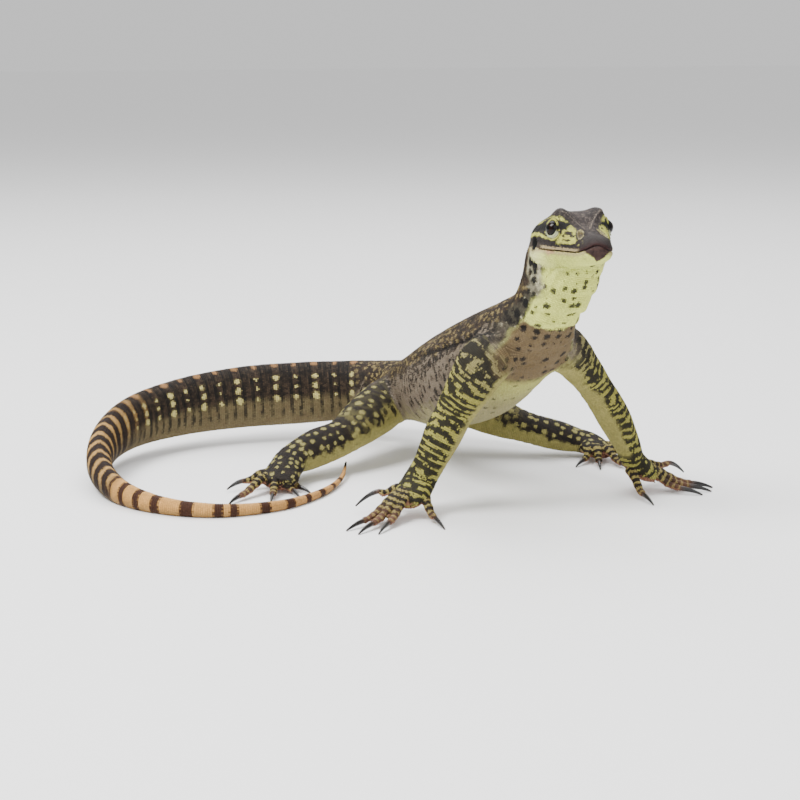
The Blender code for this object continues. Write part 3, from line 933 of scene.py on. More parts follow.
def sculpt(points, normals):
    """The skin's points with every fold and feature."""
    _, owner, t, s, angle = flesh(points)
    lift = np.zeros(len(points))
    for index in range(len(TUBES)):
        m = owner == index
        if index == 0:
            lift[m] = body_lift(points[m], s[m], angle[m])
        elif index == 1:
            lift[m] = head_lift(points[m])
        else:
            lift[m] = limb_lift(points[m], normals[m], t[m], s[m], (index - 2) % 6)
    edges = read_edges(skin.data)
    soft = relax(np.repeat(lift[:, None], 3, 1), edges, 1)[:, 0]
    lift = np.where(on_head(points), lift, soft)
    points = points + normals * (lift + ear_lift(points))[:, None]
    points = sculpt_eyes(points)
    for place, reach, rounds in SMOOTHED:
        share = ramp(reach, 0.47 * reach, np.linalg.norm(points - place, axis=1))[:, None]
        points = points * (1 - share) + relax(points, edges, rounds) * share
    points[:, 2] = np.maximum(points[:, 2], SOLE)
    return points


write_points(skin.data, sculpt(points, read_normals(skin.data)))
say("skin sculpted")

# %% [markdown]
# ## Markings
# A young Argus monitor has a dark brown back with rows of tan spots, grey flanks with dark dashes,
# a greenish yellow throat, a cream belly, and legs netted with black on yellow. Its tail has
# columns of yellow spots that turn into rings. The markings follow the body, so each painter works
# from the length along a tube and the angle round it. Skin and scales call the same painters.
# Wrapping a painted picture on would also work, but rules follow every bend and have no seam.

# %% Colours
BACK = tone("33291f")
BACK_PALE = tone("56483a")
TAN = tone("9c8c60")
BLACK = tone("15100c")
FLANK = tone("877c6d")
BELLY = tone("a49e76")
THROAT = tone("d6db84")
CHEST = tone("7d6c4e")
NECK_PALE = tone("c2bea2")
OLIVE = tone("827b4a")
YELLOW = tone("a29b57")
YELLOW_BRIGHT = tone("c8ca6e")
ORANGE = tone("b08a5e")
TAIL_SPOT = tone("cfc68a")
TAIL_GREY = tone("786a50")
TAIL_CREAM = tone("caa266")
TAIL_BROWN = tone("4e3220")
PINK = tone("a27a66")
CROWN = tone("453d3b")
CROWN_PALE = tone("83786f")
LID_PALE = tone("c3c7a4")
THROAT_DEEP = tone("c0c672")
PINK_STAIN = tone("c39a80")
LIP = tone("b5a680")
MOUTH = tone("3d0f0d")
say("back and throat as linear light:", BACK.round(3), THROAT.round(3))

# %% Painting the tail
COLUMN_PITCH = 10.3  # between columns of spots at the root of the tail
COLUMN_CROWDING = 11400.0  # and they draw closer towards its end
TAIL_SPOTS = ((50, 1.25), (69, 1.2), (90, 1.45))  # degrees round from the top, radius
RINGS_START = 400.0
TAIL_RINGS = (  # the dark rings of its end: from the top of the neck, half width
    (399, 1.9), (407.5, 1.7), (416, 1.6), (425, 2.0), (438.5, 2.7), (451, 1.8), (457, 1.7),
    (470, 2.2), (482, 2.3), (492.5, 1.6), (503, 2.0), (514, 1.6), (524, 1.8),
)


def paint_tail(points, s, around, turn):
    """Columns of yellow spots between dark bars, then dark rings on cream."""
    from_root = s - TAIL_START
    share = np.clip(from_root / (body_tube.s[-1] - TAIL_START), 0, 1)
    wobble = 0.8 * sway(points, 5.0, 3)
    column = from_root / COLUMN_PITCH + from_root**2 / COLUMN_CROWDING + 0.12 * wobble
    phase = column - np.floor(column)
    strong = np.floor(column) % 2 == 0  # every second column is bolder
    off = np.abs(phase - 0.5) / (1 / COLUMN_PITCH + 2 * from_root / COLUMN_CROWDING)
    grey = noise(points, 1.1, 5)
    ground = mix(BACK_PALE, BACK, ramp(0.2, 0.8, grey))
    bars = 1 - ramp(0.5, 1.1, np.abs(off - np.where(strong, 2.6, 2.2)))
    bars = bars * (0.45 + 0.55 * ramp(0.25, 0.55, noise(points, 1.7, 8)))
    ground = mix(ground, BLACK, np.maximum(bars, ramp(3.2, 4.6, off) * 0.8 * ramp(80, 40, turn)))
    lower = ramp(82, 104, turn + 10 * wobble)
    pale = mix(TAIL_GREY, BELLY, 0.25 * grey)
    low_bars = bars * ramp(140, 118, turn + 14 * wobble)
    ground = mix(ground, mix(pale, BLACK, low_bars * 0.85), lower)
    for place, size in TAIL_SPOTS:
        gap = np.hypot(off, (turn - place) / RADIAN * around)
        radius = size * np.where(strong, 1.0, 0.6) * (0.8 + 0.5 * noise(points, 4.0, 6))
        ground = mix(ground, TAIL_SPOT, 1 - ramp(0.7, 1.15, gap / radius))
    crest = np.hypot(off * np.where(strong, 0.9, 1.6), (turn - 10) / RADIAN * around * 0.7)
    ground = mix(ground, ORANGE, (1 - ramp(0.9, 2.0, crest + 0.5 * wobble)) * 0.75)
    slant = column - 0.3 * (turn / 90.0 - 0.6) + 0.1 * wobble
    band = np.abs(slant - np.floor(slant) - 0.5)
    pale = mix(mix(TAIL_CREAM, TAN, 0.4), TAIL_GREY, ramp(50, 120, turn))
    broken = 0.22 * sway(points, 2.6, 7)
    inked = ramp(0.08, 0.24, band + broken) * ramp(165, 118, turn + 60 * broken)
    stripes = mix(pale, mix(BLACK, TAIL_BROWN, 0.3), inked)
    ground = mix(ground, stripes, ramp(0.3, 0.42, share + 0.06 * wobble))
    rings = np.zeros(len(points))
    for place, half in TAIL_RINGS:
        rings = np.maximum(rings, 1 - ramp(0.8, 1.2, np.abs(s + 0.8 * wobble - place) / half))
    cream = mix(TAIL_CREAM, TAIL_GREY, ramp(80, 140, turn) * 0.5)
    cream = mix(cream, ORANGE, ramp(440, 500, s) * 0.55)
    ringed = mix(cream, TAIL_BROWN, rings * ramp(175, 150, turn))
    ringed = mix(ringed, BLACK, ramp(body_tube.s[-1] - 9, body_tube.s[-1] - 6, s))
    return mix(ground, ringed, ramp(RINGS_START - 4, RINGS_START + 4, s))


say("tail: columns of spots", COLUMN_PITCH, "mm apart, then", len(TAIL_RINGS), "rings")

# %% Painting neck and trunk
NECK_AXIS = 31.0  # the upright neck hangs this far behind the snout
THROAT_END = 30.6
THROAT_BLOTS = (4.1, 1.2, 55, 0.95)
THROAT_SQUASH = (1.0, 1.0, 1.15)  # the blots of the throat are a little wider than tall
# How far round the neck its dark back, its pale sides and its chest reach: along, degrees.
NECK_BACK = ((0, 62), (8, 72), (18, 78), (26, 66), (44, 66))
NECK_SIDE = ((0, 118), (9, 113), (18, 112), (24, 86), (28, 93), (32, 106), (44, 116))
CHEST_RIM = ((30, 105), (36, 108), (44, 122), (52, 134), (60, 148), (66, 165))


def read_line(line, x):
    """The height at x of a line given by its points."""
    return np.interp(x, *zip(*line))


def neck_turn(points, s, angle):
    """Degrees round from the nape; at the neck's top they are counted from the head's back."""
    back_by, across, _ = head_place(points)
    from_head = np.degrees(np.abs(np.arctan2(across - 0.4, back_by - NECK_AXIS)))
    upright = ramp(26, 14, s)
    return np.degrees(np.abs(angle)) * (1 - upright) + from_head * upright


def paint_back(points, s, v, warp, fleck, blotch):
    """Dark, with rows of tan spots and smaller ones between them."""
    back = mix(BACK, BACK_PALE, ramp(0.35, 0.9, fleck) * 0.8)
    back = mix(back, BLACK, ramp(0.55, 0.8, blotch) * 0.6)
    spots = dots(s + warp, v + warp, (5.0, 3.4), (1.0, 0.85), 21, 0.7, 0.8) * 0.8
    spots = np.maximum(spots, dots(s - warp, v, (2.6, 2.2), (0.5, 0.45), 25, 0.95, 0.6) * 0.6)
    nape = blots(points + warp[:, None], 3.4, 1.0, 21, 0.85) * 0.8
    return mix(back, TAN, spots * ramp(20, 26, s) + nape * ramp(26, 20, s))


def paint_flank(points, s, v, turn, warp, fleck):
    """Grey, with dark upright dashes that thin out towards the belly."""
    flank = mix(FLANK, BACK_PALE, ramp(0.45, 0.9, fleck) * 0.4)
    dashes = dots(s + warp, v, (4.2, 5.0), (0.85, 1.6), 31, 0.95, 0.85, 0.3)
    small = dots(s, v + warp, (2.4, 2.7), (0.55, 0.8), 35, 1.0, 0.7, 0.4) * ramp(122, 88, turn)
    flank = mix(flank, BLACK, np.maximum(dashes, small) * 0.92)
    shadow = noise(points, 1.6, 15) + 0.35 * (fleck - 0.5)
    clouds = ramp(0.45, 0.58, shadow - 0.25 * ramp(70, 100, turn)) * ramp(112, 76, turn)
    flank = mix(flank, mix(BACK, BLACK, 0.5), clouds * 0.88)
    shoulder = ramp(78, 62, s) * ramp(36, 46, s) * ramp(122, 100, turn) * ramp(40, 60, turn)
    return mix(flank, BLACK, ramp(0.36, 0.5, shadow) * shoulder * 0.92)


def paint_neck(points, s, turn, fleck, blotch, back):
    """Pale sides with black blotches, and a greenish throat with small ones."""
    side = mix(NECK_PALE, FLANK, ramp(0.3, 0.8, fleck) * 0.6)
    clouds = ramp(0.3, 0.6, noise(points, 1.5, 16) + 0.3 * ramp(16, 26, s))
    side = mix(side, mix(BACK, BLACK, 0.4), clouds * (0.2 + 0.7 * ramp(14, 24, s)))
    side = mix(side, BLACK, blots(points, 4.1, 1.95, 51, 0.95))
    throat = mix(THROAT, YELLOW_BRIGHT, 0.3 * noise(points, 9.0, 14))
    throat = mix(throat, BLACK, blots(points * THROAT_SQUASH, *THROAT_BLOTS) * 0.95)
    edge = turn + 10 * (blotch - 0.5)
    neck = mix(back, CROWN, ramp(9, 2, s) * 0.6)
    neck = mix(neck, side, ramp(-6, 8, edge - read_line(NECK_BACK, s)))
    return mix(neck, throat, ramp(-8, 8, edge - read_line(NECK_SIDE, s)))


def paint_body(points, t, s, angle):
    """Neck, trunk and tail."""
    turn = neck_turn(points, s, angle)
    around = body_radius(s)
    v = angle * around
    warp = 1.2 * sway(points, 3.0, 11)
    fleck = noise(points, 1.2, 12)
    blotch = noise(points, 3.2, 13)
    back = paint_back(points, s, v, warp, fleck, blotch)
    flank = paint_flank(points, s, v, turn, warp, fleck)
    belly = mix(BELLY, FLANK, 0.25 * fleck)
    belly = mix(belly, mix(YELLOW_BRIGHT, BELLY, 0.4), ramp(92, 60, s) * 0.8)
    belly = mix(belly, BLACK, blots(points, 4.4, 0.95, 41, 0.9) * 0.75)
    edge = turn + 22 * (blotch - 0.5) + 10 * (fleck - 0.5)
    colour = mix(back, flank, ramp(64, 80, edge))
    colour = mix(colour, belly, ramp(118, 140, edge))
    colour = mix(colour, paint_neck(points, s, turn, fleck, blotch, back), ramp(3.9, 3.0, t))
    chest = mix(CHEST, FLANK, 0.25 * fleck)
    chest = mix(chest, BLACK, blots(points, 4.2, 1.3, 58, 0.95) * 0.95)
    patch = ramp(THROAT_END - 0.3, THROAT_END + 0.3, s + 1.5 * (blotch - 0.5)) * ramp(66, 58, s)
    patch = patch * ramp(-5, 5, turn - read_line(CHEST_RIM, s) + 8 * (blotch - 0.5))
    colour = mix(colour, chest, patch)
    # The dark line painted in the fold along the flank: painted shade.
    fold = np.abs(from_flank_fold(turn, s)) * around / RADIAN
    line = (1 - ramp(0.5, 1.3, fold + warp * 0.6)) * ramp(56, 64, s) * ramp(120, 104, s)
    colour = mix(colour, BLACK, line * 0.85)
    tail = paint_tail(points, s, around, turn)
    return mix(colour, tail, ramp(TAIL_START - 4, TAIL_START + 8, s + 8 * (blotch - 0.5)))


say("throat ends", THROAT_END, "mm from the top of the neck")

# %% Painting the limbs
TOE_BANDS = 2.7  # pitches of bands and spots in millimetres
ARM_BARS = 3.3
LEG_NET = 4.4
LEG_SPOTS = (4.3, 4.0)
# How much black there is on an arm, by row of its table.
ARM_BLACK = ((0.6, 0.6), (1.8, 0.35), (3.0, 0.2), (4.6, 0.25), (5.6, 0.45), (6.5, 0.6))
# Which way the plain inner side faces, its soft edge, and how ragged that edge is.
INSIDE = {
    "arm": ((1.0, 0.15, -0.3), (0.08, 0.4), 0.3),
    "leg": ((0.25, -0.45, -0.85), (0.25, 0.6), 0.6),
}


def paint_toe(points, normals, s, number):
    """Dark rings on tan, fleshy towards the claw and below."""
    fleck = noise(points, 0.9, 62)
    band = np.sin(2 * math.pi * s / TOE_BANDS + number) + 1.2 * (fleck - 0.5)
    colour = mix(mix(BACK, BLACK, 0.6 * fleck), mix(TAN, YELLOW, 0.4), ramp(0.1, 0.75, band))
    colour = mix(colour, PINK, ramp(-0.05, -0.6, normals[:, 2]) * 0.9)
    return mix(colour, mix(PINK, BACK, 0.35), ramp(8, 20, s) * 0.5)


def paint_arm(points, t, s, fleck, net, wave):
    """Close wavy black bars on olive yellow, breaking up towards the shoulder."""
    fine = sway(points, 1.3, 65)
    ground = mix(mix(OLIVE, YELLOW, 0.7), YELLOW_BRIGHT, 0.3 * fleck)
    ground = mix(ground, FLANK, ramp(2.4, 0.9, t) * 0.55)
    bars = np.sin(2 * math.pi * s / ARM_BARS + 8.0 * wave) + 2.4 * net + 1.2 * fine
    black = ramp(-0.25, 0.15, bars + read_line(ARM_BLACK, t))
    return mix(ground, mix(BLACK, BACK, 0.3 * fleck), black * 0.96)


def paint_leg(s, angle, fleck, net, wave):
    """Yellow net on the thigh, cream spots on black from the knee down and along the top."""
    spots = dots(s + 0.5 * net, angle * 7.0, LEG_SPOTS, (1.05, 0.95), 71, 0.6, 0.95)
    dark = mix(BACK, BLACK, ramp(0.25, 0.75, fleck) * 0.7)
    spotted = mix(dark, mix(YELLOW, BELLY, 0.45), spots * 0.95)
    bands = np.sin(2 * math.pi * s / LEG_NET + 7.0 * wave) + 3.4 * net
    ground = mix(mix(OLIVE, YELLOW, 0.7), FLANK, 0.25)
    netted = mix(ground, mix(BLACK, BACK, 0.4), ramp(-0.1, 0.35, bands) * 0.95)
    return netted, spotted


def paint_limb(limb, points, normals, t, s, angle, toe):
    """Black nets and bands on yellow, plain inside; the hind foot has round spots."""
    if toe:
        return paint_toe(points, normals, s, toe)
    kind, flank = limb.split("_")
    facing, (start, end), ragged = INSIDE[kind]
    inward = unit(np.array(facing) * (1.0 if flank == "right" else -1.0, 1.0, 1.0))
    inner = ramp(start, end, normals @ inward + ragged * sway(points, 2.5, 61))
    fleck = noise(points, 1.0, 62)
    net = sway(points, 2.5, 63)
    wave = sway(points, 5.0, 64)
    plain = mix(mix(BELLY, YELLOW, 0.6), OLIVE, 0.35 * fleck)
    if kind == "arm":
        colour = paint_arm(points, t, s, fleck, net, wave)
    else:
        netted, spotted = paint_leg(s, angle, fleck, net, wave)
        outer = ramp(0.35, 0.7, normals[:, 2] + 0.5 * wave) * ramp(3.2, 2.2, t) * 0.9
        colour = mix(netted, spotted, np.maximum(ramp(2.0, 3.0, t + 0.8 * wave), outer))
    colour = mix(colour, plain, inner * ramp(5.6, 5.0, t))
    colour = mix(colour, PINK, ramp(-0.35, -0.75, normals[:, 2]) * ramp(5.6, 6.2, t))
    # Towards its root the limb takes on the pattern of the flank it grows from.
    root = ramp(1.25, 0.5, t + 0.7 * wave)
    joined = root > 0
    if joined.any():
        _, *place = measure(body_tube, points[joined])
        flank = paint_body(points[joined], *place)
        colour[joined] = mix(colour[joined], flank, root[joined])
    return colour


say("limbs: bars", ARM_BARS, "mm apart, net", LEG_NET, "mm")

# %% Painting the head
# The stripes of its side: behind the snout, above the mouth, half width.
BROW_STRIPE = (
    (6.5, 5.3, 0.35), (9, 6.6, 0.5), (12.5, 8.3, 0.7), (14.7, 9.6, 0.8), (15.8, 10.4, 0.7),
    (17, 11.3, 0.6), (18.7, 12.2, 0.5), (21, 12.8, 0.4), (27, 12.6, 0.45), (30.5, 11.5, 0.6),
    (33, 10.5, 0.7), (46, 8.2, 0.9),
)
DARK_STRIPE = (
    (14.6, 8.9, 0.9), (16.5, 9.5, 1.3), (19, 9.4, 1.4), (25, 9.0, 1.2), (33, 8.4, 1.6),
    (46, 6.4, 1.6),
)
CHEEK_STRIPE = ((25, 5.0, 0.5), (28, 5.8, 0.6), (33, 5.9, 0.7), (46, 4.2, 1.0))
# Lines on the head by distance behind the snout: the top of the yellow in front of the eye, the
# grey crown's lower edge, how far off the midline it reaches, and the pale ridge on it.
FACE_TOP = ((7, 6.2), (12.5, 7.9), (14.5, 9.0), (16, 8.4), (18, 8.2))
CROWN_EDGE = (
    (6, 5.7), (9, 7.2), (12.5, 9.3), (14.7, 10.7), (17, 12.1), (18.7, 12.9), (21, 13.5),
    (27, 13.5), (33, 11.6), (46, 9.4),
)
CROWN_REACH = (
    (5, 3.4), (9, 3.6), (12.5, 4.6), (14.7, 5.4), (15.8, 6.1), (17, 7.0), (18.7, 8.2), (21, 9.0),
    (27, 8.0),
)
CROWN_RIDGE = ((13, 0.9), (14, 1.2), (17.2, 3.4), (20.2, 8.2))
# Where the head's markings pass into the neck's: height above the mouth, behind the snout.
HEAD_END = ((-12, 16), (-7, 22), (-3, 32), (0, 36), (4, 39), (7, 42), (12, 44))
LIP_SHIELDS = 1.15  # the pitch of the notches between them


def stripe_at(stripe, back_by, rise, soft=0.3):
    """1 inside a stripe that runs along the side of the head."""
    along, height, half = zip(*stripe)
    off = np.abs(rise - np.interp(back_by, along, height)) / np.interp(back_by, along, half)
    return 1 - ramp(1 - soft, 1 + soft, off)


def paint_lids(colour, points, side, yellow, ragged):
    """Pale crescents under the eye with painted shade in its creases, a dark rim and a yellow arc
    over it.
    """
    _, measure, forward, upward = lid_measure(points, side)
    m = measure + 0.03 * ragged

    def ring(start, end):
        return ramp(start - 0.03, start + 0.03, m) * ramp(end + 0.03, end - 0.03, m)

    low = ramp(0.2, -0.8, upward + 0.3 * np.abs(forward) + 0.2 * ragged)
    under = mix(colour, LID_PALE, ring(0.95, 1.40) * low)
    # The two black rings below the eye lie in its sculpted creases: painted shade.
    under = mix(under, BLACK, ring(1.40, 1.49) * low * 0.85)
    under = mix(under, yellow, ring(1.49, 1.68) * low)
    under = mix(under, BLACK, ring(1.68, 1.8) * low * 0.75)
    over = ramp(0.8, 1.8, upward)
    under = mix(under, yellow, ring(1.12, 1.42) * over)
    under = mix(under, BLACK, ramp(1.12, 1.06, m) * ramp(-1.2, 0.5, upward) * 0.9)
    return mix(under, LID_PALE, ring(0.98, 1.07) * ramp(-0.8, -1.8, forward) * 0.8)


def paint_crown(points, back_by, across, rise, fleck):
    """Grey, clouded over the brows, with pale specks and a pale ridge to each of them."""
    out = np.abs(across)
    crown = mix(CROWN, CROWN_PALE, ramp(0.45, 0.9, fleck) * 0.42)
    crown = mix(crown, BLACK, ramp(0.5, 0.8, noise(points, 2.2, 82)) * 0.35)
    brow = hump(out, 7.4, 2.4) * ramp(17, 20, back_by) * ramp(29, 25, back_by)
    crown = mix(crown, BLACK, brow * 0.35)
    specks = dots(back_by, across, (1.5, 1.4), (0.34, 0.34), 85, 0.9, 0.6)
    crown = mix(crown, CROWN_PALE, specks * ramp(6.0, 3.5, out) * ramp(13, 17, back_by) * 0.4)
    ridge = hump(out, read_line(CROWN_RIDGE, back_by), 0.42) * ramp(5, 7, rise)
    ridge = ridge * ramp(12.5, 14.5, back_by) * ramp(21, 19, back_by)
    return mix(crown, mix(CROWN_PALE, FLANK, 0.4), ridge * 0.95)


def paint_side(back_by, across, rise, ragged, ground, yellow):
    """The side of the head: yellow before the eye, and a dark stripe between yellow ones."""
    before = ramp(18.5, 17, back_by) * ramp(2.4, 3.2, rise + 0.5 * ragged)
    before = before * ramp(0.5, -0.3, rise - read_line(FACE_TOP, back_by))
    blotched = noise(np.stack([back_by / 1.5, rise, across], axis=1), 1.15, 84)
    side = mix(ground, yellow, before * ramp(0.56, 0.48, blotched - 0.025 * (rise - 4)))
    side = mix(side, yellow, stripe_at(CHEEK_STRIPE, back_by, rise + 0.4 * ragged))
    brow = stripe_at(BROW_STRIPE, back_by, rise + 0.4 * ragged)
    side = mix(side, yellow, brow * ramp(0.72, 0.6, blotched))
    dark = stripe_at(DARK_STRIPE, back_by, rise + 0.3 * ragged)
    return mix(side, BLACK, dark * ramp(14.6, 15.2, back_by + 0.6 * ragged))


def side_share(back_by, across, rise, ragged):
    """1 on the side of the head, 0 on its crown and the front of its snout."""
    share = ramp(13.4, 12.6, rise + 0.4 * ragged)
    share = share * ramp(0.35, -0.25, rise - read_line(CROWN_EDGE, back_by))
    share = share * ramp(0.2, 1.6, back_by - 3.2 - 1.15 * np.maximum(rise - 3.3, 0))
    reach = read_line(CROWN_REACH, back_by)
    return share * ramp(-0.5, 0.3, np.abs(across) - reach + 0.3 * ragged)


def paint_nostril(colour, points, back_by, dark, fleck):
    """A pale swollen ring, and a dark slit at its back that is painted shade in the opening."""
    hole = nostril_measure(points)
    colour = mix(colour, mix(dark, CROWN, 0.5), ramp(1.75, 1.5, hole))
    colour = mix(colour, mix(TAN, LID_PALE, 0.25), ramp(1.3, 1.1, hole))
    colour = mix(colour, mix(TAN, CROWN, 0.35 + 0.4 * fleck), ramp(0.9, 0.7, hole))
    # The slit is painted near black: painted shade inside the nostril.
    slit = np.hypot(hole, 1.6 * (back_by - NOSTRIL[0] - 0.9))
    return mix(colour, mix(BLACK, CROWN, 0.2), ramp(0.75, 0.45, slit))


def paint_jaw(points, back_by, across, rise, mouth, ragged, fleck, lip):
    """Greenish, with a pale lip, a faint stain by it, and a grey chin."""
    jaw = mix(THROAT, THROAT_DEEP, 0.6 * noise(points, 4.0, 86))
    jaw = mix(jaw, NECK_PALE, ramp(18, 32, back_by) * 0.6)
    jaw = mix(jaw, lip, ramp(-2.2, -0.8, mouth) * 0.8)
    spots = blots(points * THROAT_SQUASH, *THROAT_BLOTS)
    jaw = mix(jaw, BLACK, spots * ramp(-4.5, -6, rise) * ramp(10, 14, back_by))
    stain = ramp(0.45, 0.7, noise(points, 1.6, 87)) * ramp(14, 18, back_by) * ramp(27, 23, back_by)
    jaw = mix(jaw, PINK_STAIN, stain * ramp(-3.4, -1.0, mouth) * 0.6)
    wide = 4.7 * np.clip((rise + 3.3) / 3.6, 0, 1)
    chin = ramp(0.4, -0.4, np.abs(across + 0.2) - wide + 0.4 * ragged) * ramp(6.2, 4.6, back_by)
    return mix(jaw, mix(mix(CROWN, MOUTH, 0.35), PINK, 0.1 * fleck), chin)


def paint_head(points):
    """Grey crown, a dark stripe through the eye between yellow ones, pale lips and throat."""
    back_by, across, rise = head_place(points)
    fleck = noise(points, 0.8, 81)
    ragged = 1.6 * sway(points, 1.0, 83)
    mouth = rise - mouth_height(back_by, across)
    yellow = mix(YELLOW_BRIGHT, YELLOW, 0.7 * fleck)
    dark = mix(CROWN, BLACK, 0.45 + 0.3 * fleck)
    crown = paint_crown(points, back_by, across, rise, fleck)
    side = paint_side(back_by, across, rise, ragged, mix(dark, crown, 0.3), yellow)
    on_side = side_share(back_by, across, rise, ragged)
    colour = mix(crown, side, on_side)
    # The front of the snout, darkened as painted shade, and reddened round the mouth.
    front = ramp(11, 5, back_by) * ramp(10, 7.5, rise) * (1 - on_side)
    colour = mix(colour, mix(CROWN, BLACK, 0.2 + 0.35 * fleck), front * 0.85)
    colour = mix(colour, MOUTH, hump(mouth, 0, 1.4) * ramp(7, 3, back_by) * 0.8)
    colour = paint_nostril(colour, points, back_by, dark, fleck)
    # Lips with dark notches between their shields.
    lip = mix(LIP, FLANK, 0.35 * fleck)
    upper_lip = ramp(1.45, 1.05, mouth + 0.3 * ragged) * ramp(4.0, 6.5, back_by)
    colour = mix(colour, mix(lip, CROWN, ramp(24, 30, back_by) * 0.7), upper_lip)
    notch = ramp(0.25, 0.75, np.sin(2 * math.pi * back_by / LIP_SHIELDS))
    notch = notch * ramp(0.9, 1.5, mouth) * ramp(3.0, 2.4, mouth)
    colour = mix(colour, BLACK, notch * ramp(4.5, 7, back_by) * ramp(23, 19, back_by) * 0.75)
    for eye in (-1, 1):
        colour = paint_lids(colour, points, eye, yellow, ragged)
    cheek = mix(dark, mix(FLANK, CROWN, 0.5), 0.15 + 0.45 * fleck)
    colour = mix(colour, cheek, ramp(3.4, 2.4, rise + 0.5 * ragged) * ramp(24, 28, back_by))
    jaw = paint_jaw(points, back_by, across, rise, mouth, ragged, fleck, lip)
    colour = mix(colour, jaw, ramp(0.12, -0.12, mouth))
    # The seam between the lips takes the mouth's dark red, deepened as painted shade.
    return mix(colour, MOUTH * 0.6, mouth_depth(points))


def head_share(points):
    """1 where the head's own markings show, fading to 0 over the nape and behind the jaw."""
    back_by, _, rise = head_place(points)
    end = read_line(HEAD_END, rise)
    share = ramp(end + 1.2, end - 1.2, back_by + 2.4 * sway(points, 1.6, 88))
    return share * on_head(points, NAPE_BOX)


say("eyebrow stripe from", BROW_STRIPE[0][0], "to", BROW_STRIPE[-1][0], "mm behind the snout")

# %% Painting every point


def paint_front(points, t, s, angle, head):
    """Head, neck, trunk and tail; the head's markings pass into the neck's without a step."""
    share = head_share(points)
    colour = np.zeros((len(points), 3))
    part = share < 1
    if head and part.any():
        _, t[part], s[part], angle[part] = measure(body_tube, points[part])
    colour[part] = paint_body(points[part], t[part], s[part], angle[part])
    part = share > 0
    if part.any():
        colour[part] = mix(colour[part], paint_head(points[part]), share[part])
    return colour


def paint(owner, points, normals, t, s, angle):
    """The colour of every point, from the painter of its own tube."""
    colour = np.zeros((len(points), 3))
    for index in np.unique(owner):
        mine = owner == index
        place = t[mine], s[mine], angle[mine]
        if index < 2:
            colour[mine] = paint_front(points[mine], *place, index == 1)
        else:
            limb, toe = list(LIMBS)[(index - 2) // 6], (index - 2) % 6
            colour[mine] = paint_limb(limb, points[mine], normals[mine], *place, toe)
    # The ear's hole is painted near black: painted shade inside the hole.
    dark = ramp(1.25, 0.95, near(points, EAR, EAR_REACH)) * on_head(points)
    return mix(colour, BLACK * 0.4, dark)


# %% [markdown]
# ## Rows of scales
# A monitor's scales are small, round and laid in rings round the body, each ring half a scale out
# of step with the last. So rings are walked along every tube, a ray is sent outwards from its
# middle line at each place, and the scale is rooted where the ray leaves the skin. Scattering them
# at random would be easier, but the rows would be lost, and they are what the eye reads as skin.

# %% Where each scale grows
# Pitch along and around in millimetres for each stretch of the body tube, by row of its table.
BODY_PITCH = (
    (0, 0.54, 0.53), (3, 0.62, 0.61), (5, 0.76, 0.74), (10, 0.84, 0.78), (14, 0.88, 0.7),
    (18, 0.88, 0.55), (24, 0.8, 0.4),
)
LIMB_PITCH = 0.74
PALM_PITCH = 0.66
PALM_END = 3.0  # the last stretch of the palm is fanned
TOE_PITCH = 0.58
HEAD_PITCHES = (0.48, 0.6)  # at the snout and behind the jaw
EYE_PITCH = 0.3
LID_SCALES = 1.8  # lid scales end here, in widths of the eye's opening
RAY_START = 4.0
SNOUT_REACH = 4.0  # scales in front of this are fanned, not ringed
NAPE_REACH = 41.0  # and so are those behind this
SNOUT_FAN, NAPE_FAN, PALM_FAN = 6.0, 9.5, 4.5  # radii of the fans
GRAZE = 0.15  # rays that leave the skin flatter than this root nothing


def tube_at(tube, s):
    """The tube's values at one place along it."""
    x = min(s / tube.step, len(tube.s) - 1.001)
    low, f = int(x), x - int(x)
    spot = SimpleNamespace(s=s, power=tube.power)
    for key in ("t", "middle", "along", "side", "back", "wide", "up", "down"):
        values = getattr(tube, key)
        setattr(spot, key, values[low] * (1 - f) + values[low + 1] * f)
    return spot


def section_points(spot, around, shift, count=None):
    """Points round one section of a tube, about one pitch apart unless their count is given."""
    fine = np.linspace(-math.pi, math.pi, 241)
    cosine, sine = np.sin(fine), np.cos(fine)
    power = 2 / spot.power
    across = np.sign(cosine) * np.abs(cosine) ** power * spot.wide
    rise = np.sign(sine) * np.abs(sine) ** power * np.where(sine > 0, spot.up, spot.down)
    length = np.concatenate(([0], np.cumsum(np.hypot(np.diff(across), np.diff(rise)))))
    count = count or max(5, int(round(length[-1] / around)))
    at = (np.arange(count) + shift) / count * length[-1]
    x, y = np.interp(at, length, across), np.interp(at, length, rise)
    return spot.middle + x[:, None] * spot.side + y[:, None] * spot.back


def stack_rays(groups):
    return [np.vstack(part) for part in zip(*groups)]


def ring_rays(tube, pitches, start, end):
    """Origins, targets, sizes and lie of the rays that find the roots of a tube's scales."""
    groups = []
    at, number = start, 0
    while at < end:
        spot = tube_at(tube, at)
        along, around = pitches(spot.t)
        shift = 0.5 * (number % 2) + 0.25
        ring = section_points(spot, around, shift)
        after = section_points(tube_at(tube, at + along), around, shift, len(ring))
        # On the outside of a bend the rings spread apart, so more go between; inside they crowd.
        step = np.linalg.norm(after - ring, axis=1)
        rows = np.clip(np.round(step / along), 1, 4).astype(int)
        wanted = (step > 0.6 * along) | (number % 2 == 0)
        length = np.clip(step / rows, 0.7 * along, 1.2 * along)
        for extra in range(rows.max()):
            more = wanted & (rows > extra)
            share = (extra / rows[more])[:, None]
            place = ring[more] * (1 - share) + after[more] * share
            size = np.stack([np.full(more.sum(), around), length[more]], axis=1)
            one = np.ones((len(place), 1))
            inside = one * (spot.middle + spot.along * along * share)
            groups.append((inside, place, size, one * spot.along))
        at += along
        number += 1
    return stack_rays(groups)


